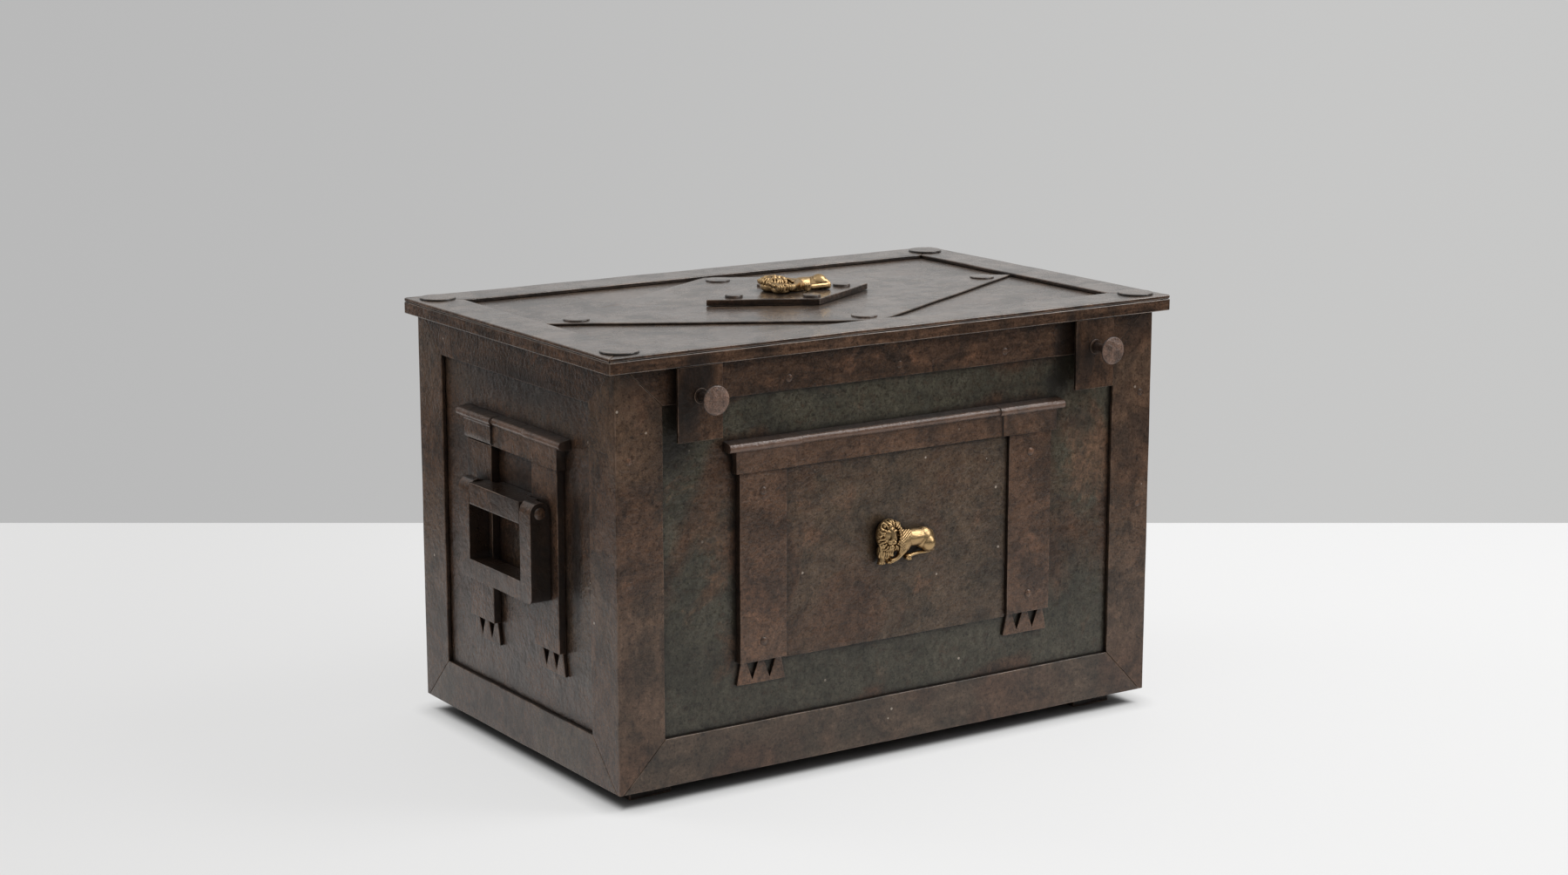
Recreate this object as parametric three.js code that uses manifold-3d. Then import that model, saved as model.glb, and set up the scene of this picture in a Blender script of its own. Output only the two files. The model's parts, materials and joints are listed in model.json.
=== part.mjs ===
// Iron coffer chest: a sheet-iron box with mitred strips on every face, pilasters under a cornice on
// the front and the sides, a drop handle at each end, brass lions, and a hinged lid with two hasps.
// Millimetres, +Z up, the front looks along -Y. The origin lies on the floor under the middle of the part.

import * as THREE from 'three';
import { mergeVertices } from 'three/addons/utils/BufferGeometryUtils.js';
import Module from 'manifold-3d';

const wasm = await Module();
wasm.setup();

// Gaps between pieces, and the overrun of every cut and every join
const seatGap = 0.3;
const turnGap = 0.5;
const boreGap = 0.3;
const overrun = 5;

// Box of the body
const bodyWidth = 600;
const bodyDepth = 376;
const bodyHeight = 388;
const sheetThickness = 2.5;
const floorThickness = 3;

// Feet
const footHeight = 15;
const footTopWidth = 44;
const footBottomWidth = 36;
const footInset = 24;

// Iron strips on the edges of the body
const stripThickness = 4;
const stileWidth = 47.5;
const bottomRailWidth = 44.5;
const topRailWidth = 42;

// Pilasters, their feet and the cornice that they carry
const pilasterThickness = 7.5;
const corniceDrop = 69;
const sideOrderForward = 3;
const frontOrder = {
  pilasterWidth: 50,
  pilasterReach: 175.5,
  pilasterBottom: 102,
  blockOuterOverhang: 4.5,
  blockInnerOverhang: 8.5,
  beadOuterOverhang: 8,
  beadInnerOverhang: 5,
};
const sideOrder = {
  pilasterWidth: 47,
  pilasterReach: 86,
  pilasterBottom: 106.5,
  blockOuterOverhang: 2.8,
  blockInnerOverhang: 1.8,
  beadOuterOverhang: 10.2,
  beadInnerOverhang: 4.5,
};
const pegPlateHeight = 21.5;
const pegPlateThickness = 3;
const pegPlateTopWidth = 43;
const pegPlateFlare = 4.5;
const pegNotchWidth = 13;
const pegNotchDepth = 18;
const friezeHeight = 20;
const friezeThickness = 7;
const blockProud = 2;
const blockChamfer = 2.5;
const coveRadius = 2.5;
const beadRadius = 4;
const beadProud = 3.5;
const corniceTopRise = 1.5;
const fieldThickness = 3.8;
const fieldBelowPilaster = 2;

// Lion, cast once for the front and once for the lid
const lionLength = 68.5;
const lionHeight = 43;
const lionRelief = 16;
const frontLionRight = 3.2;
const frontLionUp = 6.15;
const lidLionRight = 8;
const lidLionForward = 18;

// Drop handles
const handleForward = 6.5;
const bailWidth = 139;
const bailArmWidth = 20.5;
const bailDepth = 20;
const bailReach = 83;
const bailGripHeight = 18;
const bailCornerRadius = 6;
const handlePinDrop = 41;
const handlePinRadius = 4.5;
const handleHeadRadius = 5.8;
const handleHeadHeight = 1.5;
const handleBlockHeight = 20.5;
const handleBlockRise = 8;
const handleStemShare = 0.68;

// Lid
const lidSideOverhang = 12;
const lidFrontOverhang = 12;
const lidBackOverhang = 4;
const lidPlateThickness = 3.2;
const rimDrop = 7.7;
const rimClearance = 4;
const rimBackClearance = 0.5;
const borderThickness = 3.5;
const borderWidth = 42.5;
const cornerDiscRadius = 17.2;
const cornerDiscHeight = 1.5;
const cornerDiscInset = 24;
const lozengeThickness = 2;
const lozengeDiscRadius = 12.2;
const lozengeDiscHeight = 1.5;
const lozengeDiscEndInset = 36;
const lozengeDiscSideInset = 26;
const badgeHalfLength = 93;
const badgeHalfDepth = 54;
const badgeThickness = 6;
const badgeRivetRadius = 8.5;
const badgeRivetHeight = 2.5;
const badgeRivetEndInset = 31;
const badgeRivetSideInset = 14;
const discChamfer = 0.6;

// Hasp plates and the knob bolts that slide in them
const haspInset = 79.5;
const haspWidth = 46;
const haspLength = 66.5;
const haspThickness = 3;
const haspSetback = 1;
const haspRingRadius = 7;
const haspRingHeight = 1.5;
const knobRise = 7.5;
const knobReach = 28;
const knobRadius = 13.2;
const knobThickness = 4.5;
const knobDome = 1.3;
const knobRimRound = 1;
const knobNeckRadius = 7.5;
const knobNeckLength = 6;
const shankRadius = 4;
const shankGap = 0.4;
const tipRadius = 5;
const tipLength = 3;
const tipGap = 0.5;

// Hinges on the back
const hingeInset = 110;
const hingeWidth = 60;
const hingeLeafThickness = 3;
const bodyLeafLength = 45;
const knuckleRadius = 5;
const knuckleShare = 1 / 3;
const hingePinRadius = 2.5;
const hingeHeadRadius = 4;
const hingeHeadHeight = 1.5;

// Sides of the round pieces
const roundSides = 24;
const discSides = 32;
const arcSteps = 6;
const lionSides = 8;
const lionRings = 6;

// Heights and depths that follow from the sizes above. On a face, the depth 0 is the outside of the strips.
const panelFace = -stripThickness - seatGap;
const appliedBack = panelFace + seatGap;
const entablatureHeight = bodyHeight - topRailWidth - corniceDrop;
const fieldBottom = frontOrder.pilasterBottom - fieldBelowPilaster;
const handlePinHeight = entablatureHeight - handlePinDrop;
const handleBlockTop = handlePinHeight + handleBlockRise;
const bailBottom = handlePinHeight - bailReach;
const lidUnderside = bodyHeight + seatGap;
const lidPlateTop = lidUnderside + lidPlateThickness;
const rimBottom = bodyHeight - rimDrop;
const lidDressBottom = lidPlateTop + seatGap;
const borderTop = lidDressBottom + borderThickness;
const badgeBottom = lidDressBottom + lozengeThickness + seatGap;
const badgeTop = badgeBottom + badgeThickness;
const lidHalfWidth = bodyWidth / 2 + lidSideOverhang;
const lidFront = -bodyDepth / 2 - lidFrontOverhang;
const lidBack = bodyDepth / 2 + lidBackOverhang;
const lidMiddle = (lidFront + lidBack) / 2;
const lidHalfDepth = (lidBack - lidFront) / 2;
const haspOffset = bodyWidth / 2 - haspInset;
const knobHeight = bodyHeight - topRailWidth + knobRise;
const haspFace = lidFrontOverhang - haspSetback;
const haspBack = haspFace - haspThickness;
const knobFace = haspFace + knobReach;
const hingeOffset = bodyWidth / 2 - hingeInset;
const hingeAxisHeight = rimBottom - seatGap - knuckleRadius;
const hingeAxisOut = knuckleRadius + turnGap;
const bailBack = appliedBack + pilasterThickness + turnGap;
const bailHalf = bailWidth / 2;
const bailInnerHalf = bailHalf - bailArmWidth;
const pinDepth = bailBack + bailDepth / 2;

// A finish for each kind of surface: colour, roughness and metalness
const finishes = {
  strips: { color: 0x4a382d, roughness: 0.5, metalness: 0.7 },
  panels: { color: 0x3d3a34, roughness: 0.55, metalness: 0.65 },
  orders: { color: 0x47372d, roughness: 0.5, metalness: 0.7 },
  lid: { color: 0x4f4740, roughness: 0.4, metalness: 0.75 },
  fittings: { color: 0x45382f, roughness: 0.45, metalness: 0.75 },
  brass: { color: 0xb08a4c, roughness: 0.35, metalness: 0.95 },
};

// Turns a closed geometry into a solid that can be joined and cut
function solidOf(geometry) {
  const bare = geometry.clone();
  bare.deleteAttribute('normal');
  bare.deleteAttribute('uv');
  const merged = mergeVertices(bare);
  const vertProperties = new Float32Array(merged.attributes.position.array);
  const triVerts = new Uint32Array(merged.index.array);
  return new wasm.Manifold(new wasm.Mesh({ numProp: 3, vertProperties, triVerts }));
}

// Turns a solid back into a geometry
function geometryOf(solid) {
  const mesh = solid.getMesh();
  const geometry = new THREE.BufferGeometry();
  geometry.setAttribute('position', new THREE.BufferAttribute(new Float32Array(mesh.vertProperties), 3));
  geometry.setIndex(new THREE.BufferAttribute(new Uint32Array(mesh.triVerts), 1));
  geometry.computeVertexNormals();
  return geometry;
}

function joined(...geometries) {
  return geometryOf(geometries.map(solidOf).reduce((whole, next) => whole.add(next)));
}

function cut(geometry, ...tools) {
  return geometryOf(tools.map(solidOf).reduce((whole, tool) => whole.subtract(tool), solidOf(geometry)));
}

function common(first, second) {
  return geometryOf(solidOf(first).intersect(solidOf(second)));
}

// A block between two corners
function block(low, high) {
  const size = high.map((value, axis) => value - low[axis]);
  const middle = high.map((value, axis) => (value + low[axis]) / 2);
  return new THREE.BoxGeometry(...size).translate(...middle);
}

// An outline of [across, up] points, made solid from one depth to another
function plate(points, from, to) {
  const shape = new THREE.Shape(points.map(([across, up]) => new THREE.Vector2(across, up)));
  return new THREE.ExtrudeGeometry(shape, { depth: to - from, bevelEnabled: false }).translate(0, 0, from);
}

// A profile of [depth, up] points, drawn along the face from one place across it to another
function moulding(points, from, to) {
  const shape = new THREE.Shape(points.map(([depth, up]) => new THREE.Vector2(depth, up)));
  const length = to - from;
  return new THREE.ExtrudeGeometry(shape, { depth: length, bevelEnabled: false })
    .rotateY(-Math.PI / 2)
    .translate(to, 0, 0);
}

// A round bar along the depth of a face
function barOut(radius, from, to, across, up) {
  return new THREE.CylinderGeometry(radius, radius, to - from, roundSides)
    .rotateX(Math.PI / 2)
    .translate(across, up, (from + to) / 2);
}

// A round bar along the width of a face
function barAcross(radius, from, to, up, depth) {
  return new THREE.CylinderGeometry(radius, radius, to - from, roundSides)
    .rotateZ(Math.PI / 2)
    .translate((from + to) / 2, up, depth);
}

// A profile of [radius, height] points, turned about the y axis
function turned(profile, sides) {
  const points = profile.map(([radius, height]) => new THREE.Vector2(radius, height));
  return new THREE.LatheGeometry(points, sides);
}

// A low round head, chamfered at its rim and lying on the plane at the given depth
function disc(radius, height, across, up, depth) {
  const profile = [
    [0, 0],
    [radius, 0],
    [radius, height - discChamfer],
    [radius - discChamfer, height],
    [0, height],
  ];
  return turned(profile, discSides).rotateX(Math.PI / 2).translate(across, up, depth);
}

// A pin across a face, with a low head at each end
function headedPin(radius, headRadius, headHeight, halfLength) {
  const profile = [
    [0, -halfLength - headHeight],
    [headRadius - discChamfer, -halfLength - headHeight],
    [headRadius, -halfLength - headHeight + discChamfer],
    [headRadius, -halfLength],
    [radius, -halfLength],
    [radius, halfLength],
    [headRadius, halfLength],
    [headRadius, halfLength + headHeight - discChamfer],
    [headRadius - discChamfer, halfLength + headHeight],
    [0, halfLength + headHeight],
  ];
  return turned(profile, roundSides).rotateZ(-Math.PI / 2);
}

// Points of an arc from one angle to another, in degrees
function arcPoints(centreAcross, centreUp, radius, fromAngle, toAngle) {
  const points = [];
  for (let step = 0; step <= arcSteps; step += 1) {
    const angle = THREE.MathUtils.degToRad(fromAngle + ((toAngle - fromAngle) * step) / arcSteps);
    points.push([centreAcross + radius * Math.cos(angle), centreUp + radius * Math.sin(angle)]);
  }
  return points;
}

// The whole part, moved so that the knobs and the hinges stand equally far from its middle
const model = new THREE.Group();
const frontReach = bodyDepth / 2 + knobFace;
const backReach = bodyDepth / 2 + hingeAxisOut + knuckleRadius;
model.position.y = (frontReach - backReach) / 2;

// Everything above the feet is measured from the underside of the body
const chest = new THREE.Group();
chest.position.z = footHeight;
model.add(chest);

// Adds a piece to a group under its name, in its finish
function add(group, name, geometry, finish) {
  const mesh = new THREE.Mesh(geometry, new THREE.MeshStandardMaterial(finishes[finish]));
  mesh.name = name;
  group.add(mesh);
  return mesh;
}

// A frame on one face of the body: x runs right as seen from outside, y runs up, z points outwards
function faceFrame(turn, distance) {
  const around = new THREE.Group();
  around.rotation.z = turn;
  const upright = new THREE.Group();
  upright.rotation.x = Math.PI / 2;
  upright.position.y = -distance;
  around.add(upright);
  chest.add(around);
  return upright;
}

const faces = {
  front: faceFrame(0, bodyDepth / 2),
  right: faceFrame(Math.PI / 2, bodyWidth / 2),
  back: faceFrame(Math.PI, bodyDepth / 2),
  left: faceFrame(-Math.PI / 2, bodyWidth / 2),
};

// Floor and the four sheet walls
function addShell() {
  const innerHalfWidth = bodyWidth / 2 + panelFace;
  const innerHalfDepth = bodyDepth / 2 + panelFace;
  const wallBottom = floorThickness + seatGap;
  const sideHalf = innerHalfDepth - sheetThickness - seatGap;
  add(
    chest,
    'floor_plate',
    block([-innerHalfWidth, -innerHalfDepth, 0], [innerHalfWidth, innerHalfDepth, floorThickness]),
    'panels',
  );
  const longWall = block(
    [-innerHalfWidth, wallBottom, panelFace - sheetThickness],
    [innerHalfWidth, bodyHeight, panelFace],
  );
  const sideWall = block(
    [-sideHalf, wallBottom, panelFace - sheetThickness],
    [sideHalf, bodyHeight, panelFace],
  );
  const sockets = [-haspOffset, haspOffset].map((across) => socketTool(across));
  add(faces.front, 'front_panel', cut(longWall, ...sockets), 'panels');
  add(faces.back, 'back_panel', longWall, 'panels');
  add(faces.left, 'left_panel', sideWall, 'panels');
  add(faces.right, 'right_panel', sideWall.clone(), 'panels');
}

// The round hole that takes the tip of a knob bolt
function socketTool(across) {
  const depth = panelFace - sheetThickness - overrun;
  return barOut(tipRadius + tipGap, depth, overrun, across, knobHeight);
}

// One leg of a corner post, in the plane of its face, with both ends mitred
function postLeg() {
  return [
    [0, 0],
    [stripThickness, 0],
    [stileWidth, bottomRailWidth],
    [stileWidth, bodyHeight - topRailWidth],
    [stripThickness, bodyHeight],
    [0, bodyHeight],
  ];
}

// Four angle-iron posts. Each is the same piece, turned to its corner.
function addPosts() {
  const frontLeg = plate(postLeg(), -stripThickness, 0).rotateX(Math.PI / 2);
  const sideLeg = plate(postLeg(), 0, stripThickness).rotateX(Math.PI / 2).rotateZ(Math.PI / 2);
  const post = joined(frontLeg, sideLeg);
  const corners = [
    ['corner_post_front_left', -1, -1, 0],
    ['corner_post_front_right', 1, -1, 1],
    ['corner_post_back_right', 1, 1, 2],
    ['corner_post_back_left', -1, 1, 3],
  ];
  for (const [name, sideways, backwards, quarter] of corners) {
    const mesh = add(chest, name, post.clone(), 'strips');
    mesh.position.set((sideways * bodyWidth) / 2, (backwards * bodyDepth) / 2, 0);
    mesh.rotation.z = (quarter * Math.PI) / 2;
  }
}

// A bottom and a top rail on each face, mitred against the posts
function addRails() {
  const spans = { front: bodyWidth, back: bodyWidth, left: bodyDepth, right: bodyDepth };
  for (const [side, span] of Object.entries(spans)) {
    const outer = span / 2 - stripThickness - seatGap;
    const inner = span / 2 - stileWidth - seatGap;
    const bottomRail = plate(
      [
        [-outer, 0],
        [outer, 0],
        [inner, bottomRailWidth],
        [-inner, bottomRailWidth],
      ],
      -stripThickness,
      0,
    );
    let topRail = plate(
      [
        [-inner, bodyHeight - topRailWidth],
        [inner, bodyHeight - topRailWidth],
        [outer, bodyHeight],
        [-outer, bodyHeight],
      ],
      -stripThickness,
      0,
    );
    if (side === 'front') {
      topRail = cut(topRail, socketTool(-haspOffset), socketTool(haspOffset));
    }
    add(faces[side], `bottom_rail_${side}`, bottomRail, 'strips');
    add(faces[side], `top_rail_${side}`, topRail, 'strips');
  }
}

// Four low feet that narrow towards the floor
function addFeet() {
  const places = [
    ['foot_front_left', -1, -1],
    ['foot_front_right', 1, -1],
    ['foot_back_left', -1, 1],
    ['foot_back_right', 1, 1],
  ];
  const half = footTopWidth / 2;
  const bottomShare = footBottomWidth / footTopWidth;
  for (const [name, sideways, backwards] of places) {
    const foot = block([-half, -half, 0], [half, half, footHeight - seatGap]);
    const spots = foot.attributes.position;
    for (let index = 0; index < spots.count; index += 1) {
      if (spots.getZ(index) === 0) {
        spots.setX(index, spots.getX(index) * bottomShare);
        spots.setY(index, spots.getY(index) * bottomShare);
      }
    }
    const mesh = add(model, name, foot, 'fittings');
    mesh.position.x = sideways * (bodyWidth / 2 - footInset - half);
    mesh.position.y = backwards * (bodyDepth / 2 - footInset - half);
  }
}

// Outline of the plate below a pilaster: three pegs that widen downwards, parted by two pointed notches
function pegPlatePoints(top) {
  const bottom = top - pegPlateHeight;
  const topHalf = pegPlateTopWidth / 2;
  const bottomHalf = topHalf + pegPlateFlare;
  const pegWidth = (pegPlateTopWidth - 2 * pegNotchWidth) / 3;
  const points = [
    [-topHalf, top + overrun],
    [-topHalf, top],
    [-bottomHalf, bottom],
    [bottomHalf, bottom],
    [topHalf, top],
    [topHalf, top + overrun],
  ];
  const notches = [];
  for (const side of [-1, 1]) {
    const middle = (side * (pegWidth + pegNotchWidth)) / 2;
    notches.push([
      [middle - pegNotchWidth / 2, top],
      [middle, top - pegNotchDepth],
      [middle + pegNotchWidth / 2, top],
    ]);
  }
  return { points, notches };
}

// A pilaster with its peg plate, as one forging, on one side of the middle
function pilaster(order, side) {
  const half = order.pilasterWidth / 2;
  const bottom = order.pilasterBottom;
  const middle = side * (order.pilasterReach - half);
  const top = entablatureHeight - seatGap;
  const shaft = block([-half, bottom, appliedBack], [half, top, appliedBack + pilasterThickness]);
  const { points, notches } = pegPlatePoints(bottom);
  const pegs = plate(points, appliedBack, appliedBack + pegPlateThickness);
  const tools = notches.map((notch) => plate(notch, appliedBack - overrun, appliedBack + overrun));
  return joined(shaft, cut(pegs, ...tools)).translate(middle, 0, 0);
}

// The profile of the roll at the top of a cornice, standing out to the given depth
function beadPoints(depth) {
  const bottom = entablatureHeight + friezeHeight;
  const nose = arcPoints(depth - beadRadius, bottom + beadRadius, beadRadius, -90, 90);
  return [
    [appliedBack, bottom],
    ...nose,
    [appliedBack, bottom + 2 * beadRadius + corniceTopRise],
  ];
}

// The profile of a frieze with a flat face
function friezePoints(depth) {
  const top = entablatureHeight + friezeHeight + beadRadius;
  return [
    [appliedBack, entablatureHeight],
    [depth, entablatureHeight],
    [depth, top],
    [appliedBack, top],
  ];
}

// The profile of a frieze that is chamfered at its foot and sweeps out in a cove below the roll
function covedFriezePoints(depth) {
  const coveTop = entablatureHeight + friezeHeight;
  const cove = arcPoints(depth + coveRadius, coveTop - coveRadius, coveRadius, 180, 90);
  return [
    [appliedBack, entablatureHeight],
    [depth - blockChamfer, entablatureHeight],
    [depth, entablatureHeight + blockChamfer],
    ...cove,
    [depth + beadProud - beadRadius, coveTop + beadRadius],
    [appliedBack, coveTop + beadRadius],
  ];
}

// The two ends of a length that lies on one side of the middle, in rising order
function endsOf(side, near, far) {
  return side > 0 ? [near, far] : [-far, -near];
}

// A cornice: a frieze and a roll, which break forward over each pilaster
function cornice(order, covedSide) {
  const friezeDepth = appliedBack + friezeThickness;
  const blockDepth = friezeDepth + blockProud;
  const blockOuter = order.pilasterReach + order.blockOuterOverhang;
  const blockInner = order.pilasterReach - order.pilasterWidth - order.blockInnerOverhang;
  const beadOuter = blockOuter + order.beadOuterOverhang;
  const beadInner = blockInner - order.beadInnerOverhang;
  const middleReach = blockInner + overrun;
  const pieces = [
    moulding(friezePoints(friezeDepth), -middleReach, middleReach),
    moulding(beadPoints(friezeDepth + beadProud), -middleReach, middleReach),
  ];
  for (const side of [-1, 1]) {
    const profile = side === covedSide ? covedFriezePoints(blockDepth) : friezePoints(blockDepth);
    pieces.push(moulding(profile, ...endsOf(side, blockInner, blockOuter)));
    pieces.push(moulding(beadPoints(blockDepth + beadProud), ...endsOf(side, beadInner, beadOuter)));
  }
  return joined(...pieces);
}

// The lion's main forms. Each row gives the middle, the radii and the turn in degrees: across as a share
// of the length, up as a share of the height, and out as a share of the relief.
const lionFormShares = [
  [-0.27, 0.58, 0.22, 0.215, 0.42, 0.62, 0],
  [-0.29, 0.26, 0.22, 0.175, 0.24, 0.52, 0],
  [-0.262, 0.62, 0.62, 0.105, 0.22, 0.36, -6],
  [-0.255, 0.475, 0.8, 0.066, 0.085, 0.2, 0],
  [-0.418, 0.87, 0.3, 0.05, 0.08, 0.22, 0],
  [-0.142, 0.8, 0.3, 0.046, 0.075, 0.22, 0],
  [-0.055, 0.44, 0.2, 0.14, 0.27, 0.5, -12],
  [0.12, 0.47, 0.1, 0.25, 0.2, 0.5, 2],
  [0.375, 0.42, 0.12, 0.125, 0.26, 0.56, 8],
  [0.33, 0.25, 0.25, 0.09, 0.1, 0.36, 10],
  [0.33, 0.13, 0.14, 0.17, 0.055, 0.26, 6],
  [0.085, 0.09, 0.16, 0.085, 0.075, 0.26, 18],
  [-0.15, 0.11, 0.2, 0.14, 0.062, 0.3, 26],
  [-0.4, 0.14, 0.22, 0.07, 0.14, 0.34, 0],
  [-0.25, 0.05, 0.24, 0.075, 0.05, 0.3, 0],
  [-0.36, 0.05, 0.24, 0.1, 0.05, 0.3, 0],
  [0.478, 0.28, 0.1, 0.022, 0.2, 0.2, -4],
  [0.23, 0.14, 0.1, 0.2, 0.06, 0.16, 4],
];

// The lion as one casting with a flat back, lying in the plane z = 0 with its feet at y = 0
function lionGeometry() {
  const forms = lionFormShares.map(([across, up, out, wide, tall, deep, turn]) =>
    new THREE.SphereGeometry(1, lionSides, lionRings)
      .scale(wide * lionLength, tall * lionHeight, deep * lionRelief)
      .rotateZ(THREE.MathUtils.degToRad(turn))
      .translate(across * lionLength, up * lionHeight, out * lionRelief));
  const behind = block([-lionLength, -lionHeight, -lionRelief], [lionLength, 2 * lionHeight, 0]);
  return cut(joined(...forms), behind);
}

// Pilasters, cornice, field plate and lion on the front
function addFrontOrder(lion) {
  add(faces.front, 'front_pilaster_left', pilaster(frontOrder, -1), 'orders');
  add(faces.front, 'front_pilaster_right', pilaster(frontOrder, 1), 'orders');
  add(faces.front, 'front_cornice', cornice(frontOrder, 0), 'orders');
  const fieldHalf = frontOrder.pilasterReach - frontOrder.pilasterWidth - seatGap;
  const fieldFace = appliedBack + fieldThickness;
  const fieldTop = entablatureHeight - seatGap;
  const field = block([-fieldHalf, fieldBottom, appliedBack], [fieldHalf, fieldTop, fieldFace]);
  add(faces.front, 'front_field_plate', field, 'panels');
  const mesh = add(faces.front, 'front_lion', lion.clone(), 'brass');
  const lionBottom = (fieldBottom + fieldTop - lionHeight) / 2 + frontLionUp;
  mesh.position.set(frontLionRight, lionBottom, fieldFace + seatGap);
}

// Pilasters and cornice on one side. Forward is the direction of the front along the face.
function addSideOrder(side, forward) {
  const shift = forward * sideOrderForward;
  const pieces = [
    ['pilaster_front', pilaster(sideOrder, forward)],
    ['pilaster_back', pilaster(sideOrder, -forward)],
    ['cornice', cornice(sideOrder, -forward)],
  ];
  for (const [name, geometry] of pieces) {
    add(faces[side], `${side}_${name}`, geometry, 'orders').position.x = shift;
  }
}

// A drop handle: a fixed block on the wall, a pin through it, and a bail that hangs on the pin
function addHandle(side, forward) {
  const place = new THREE.Group();
  place.position.x = forward * handleForward;
  faces[side].add(place);
  const bailFace = bailBack + bailDepth;
  const blockHalf = bailInnerHalf - turnGap;
  const blockBottom = handleBlockTop - handleBlockHeight;
  const stemHalf = handleStemShare * blockHalf;
  const bar = block([-blockHalf, blockBottom, bailBack], [blockHalf, handleBlockTop, bailFace]);
  const stem = block([-stemHalf, blockBottom, appliedBack], [stemHalf, handleBlockTop, bailBack + overrun]);
  const bore = barAcross(
    handlePinRadius + boreGap,
    -bailHalf - overrun,
    bailHalf + overrun,
    handlePinHeight,
    pinDepth,
  );
  add(place, `${side}_handle_block`, cut(joined(bar, stem), bore), 'fittings');

  const armTop = handlePinHeight + bailDepth / 2;
  const corner = bailCornerRadius;
  const outline = [
    [-bailHalf, armTop],
    ...arcPoints(-bailHalf + corner, bailBottom + corner, corner, 180, 270),
    ...arcPoints(bailHalf - corner, bailBottom + corner, corner, 270, 360),
    [bailHalf, armTop],
    [bailInnerHalf, armTop],
    [bailInnerHalf, bailBottom + bailGripHeight],
    [-bailInnerHalf, bailBottom + bailGripHeight],
    [-bailInnerHalf, armTop],
  ];
  const profile = [
    [bailBack, bailBottom - overrun],
    [bailFace, bailBottom - overrun],
    ...arcPoints(pinDepth, handlePinHeight, bailDepth / 2, 0, 180),
  ];
  const hoop = common(
    plate(outline, bailBack - overrun, bailFace + overrun),
    moulding(profile, -bailHalf - overrun, bailHalf + overrun),
  );
  add(place, `${side}_handle_bail`, cut(hoop, bore), 'fittings');

  const pin = headedPin(handlePinRadius, handleHeadRadius, handleHeadHeight, bailHalf + seatGap);
  add(place, `${side}_handle_pin`, pin, 'fittings').position.set(0, handlePinHeight, pinDepth);
}

// The lid's plate with the rim that hangs around the rails
function addLidPlate(lid) {
  const outer = block([-lidHalfWidth, lidFront, rimBottom], [lidHalfWidth, lidBack, lidPlateTop]);
  const hollow = block(
    [-bodyWidth / 2 - rimClearance, -bodyDepth / 2 - rimClearance, rimBottom - overrun],
    [bodyWidth / 2 + rimClearance, bodyDepth / 2 + rimBackClearance, lidUnderside],
  );
  add(lid, 'lid_plate', cut(outer, hollow), 'lid');
}

// The raised border: four strips with mitred ends and a round head over each corner
function addBorder(lid) {
  const strips = [
    ['lid_border_front', 0, lidHalfWidth, lidHalfDepth],
    ['lid_border_right', 1, lidHalfDepth, lidHalfWidth],
    ['lid_border_back', 2, lidHalfWidth, lidHalfDepth],
    ['lid_border_left', 3, lidHalfDepth, lidHalfWidth],
  ];
  for (const [name, quarter, half, distance] of strips) {
    const outline = [
      [-half + seatGap, -distance],
      [half - seatGap, -distance],
      [half - borderWidth - seatGap, -distance + borderWidth],
      [-half + borderWidth + seatGap, -distance + borderWidth],
    ];
    const mesh = add(lid, name, plate(outline, lidDressBottom, borderTop), 'lid');
    mesh.position.y = lidMiddle;
    mesh.rotation.z = (quarter * Math.PI) / 2;
  }
  const corners = [
    ['lid_disc_front_left', -1, -1],
    ['lid_disc_front_right', 1, -1],
    ['lid_disc_back_left', -1, 1],
    ['lid_disc_back_right', 1, 1],
  ];
  for (const [name, sideways, backwards] of corners) {
    const mesh = add(lid, name, disc(cornerDiscRadius, cornerDiscHeight, 0, 0, 0), 'lid');
    mesh.position.x = sideways * (lidHalfWidth - cornerDiscInset);
    mesh.position.y = lidMiddle + backwards * (lidHalfDepth - cornerDiscInset);
    mesh.position.z = borderTop + seatGap;
  }
}

// A lozenge plate with four round heads, one near each of its points
function lozenge(halfLength, halfDepth, thickness, head) {
  const outline = [
    [-halfLength, 0],
    [0, -halfDepth],
    [halfLength, 0],
    [0, halfDepth],
  ];
  const places = [
    [-halfLength + head.endInset, 0],
    [halfLength - head.endInset, 0],
    [0, -halfDepth + head.sideInset],
    [0, halfDepth - head.sideInset],
  ];
  const sunk = thickness / 2;
  const heads = places.map(([x, y]) => disc(head.radius, head.height + sunk, x, y, thickness - sunk));
  return joined(plate(outline, 0, thickness), ...heads);
}

// The two lozenges on the lid and the lion on the upper one
function addLidOrnament(lid, lion) {
  const wideHead = {
    radius: lozengeDiscRadius,
    height: lozengeDiscHeight,
    endInset: lozengeDiscEndInset,
    sideInset: lozengeDiscSideInset,
  };
  const smallHead = {
    radius: badgeRivetRadius,
    height: badgeRivetHeight,
    endInset: badgeRivetEndInset,
    sideInset: badgeRivetSideInset,
  };
  const wideLength = lidHalfWidth - borderWidth - seatGap;
  const wideDepth = lidHalfDepth - borderWidth - seatGap;
  const wide = lozenge(wideLength, wideDepth, lozengeThickness, wideHead);
  const small = lozenge(badgeHalfLength, badgeHalfDepth, badgeThickness, smallHead);
  add(lid, 'lid_lozenge_large', wide, 'lid').position.set(0, lidMiddle, lidDressBottom);
  add(lid, 'lid_lozenge_small', small, 'lid').position.set(0, lidMiddle, badgeBottom);
  const mesh = add(lid, 'lid_lion', lion.clone(), 'brass');
  mesh.position.set(lidLionRight, lidMiddle - lidLionForward, badgeTop + seatGap);
}

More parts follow.
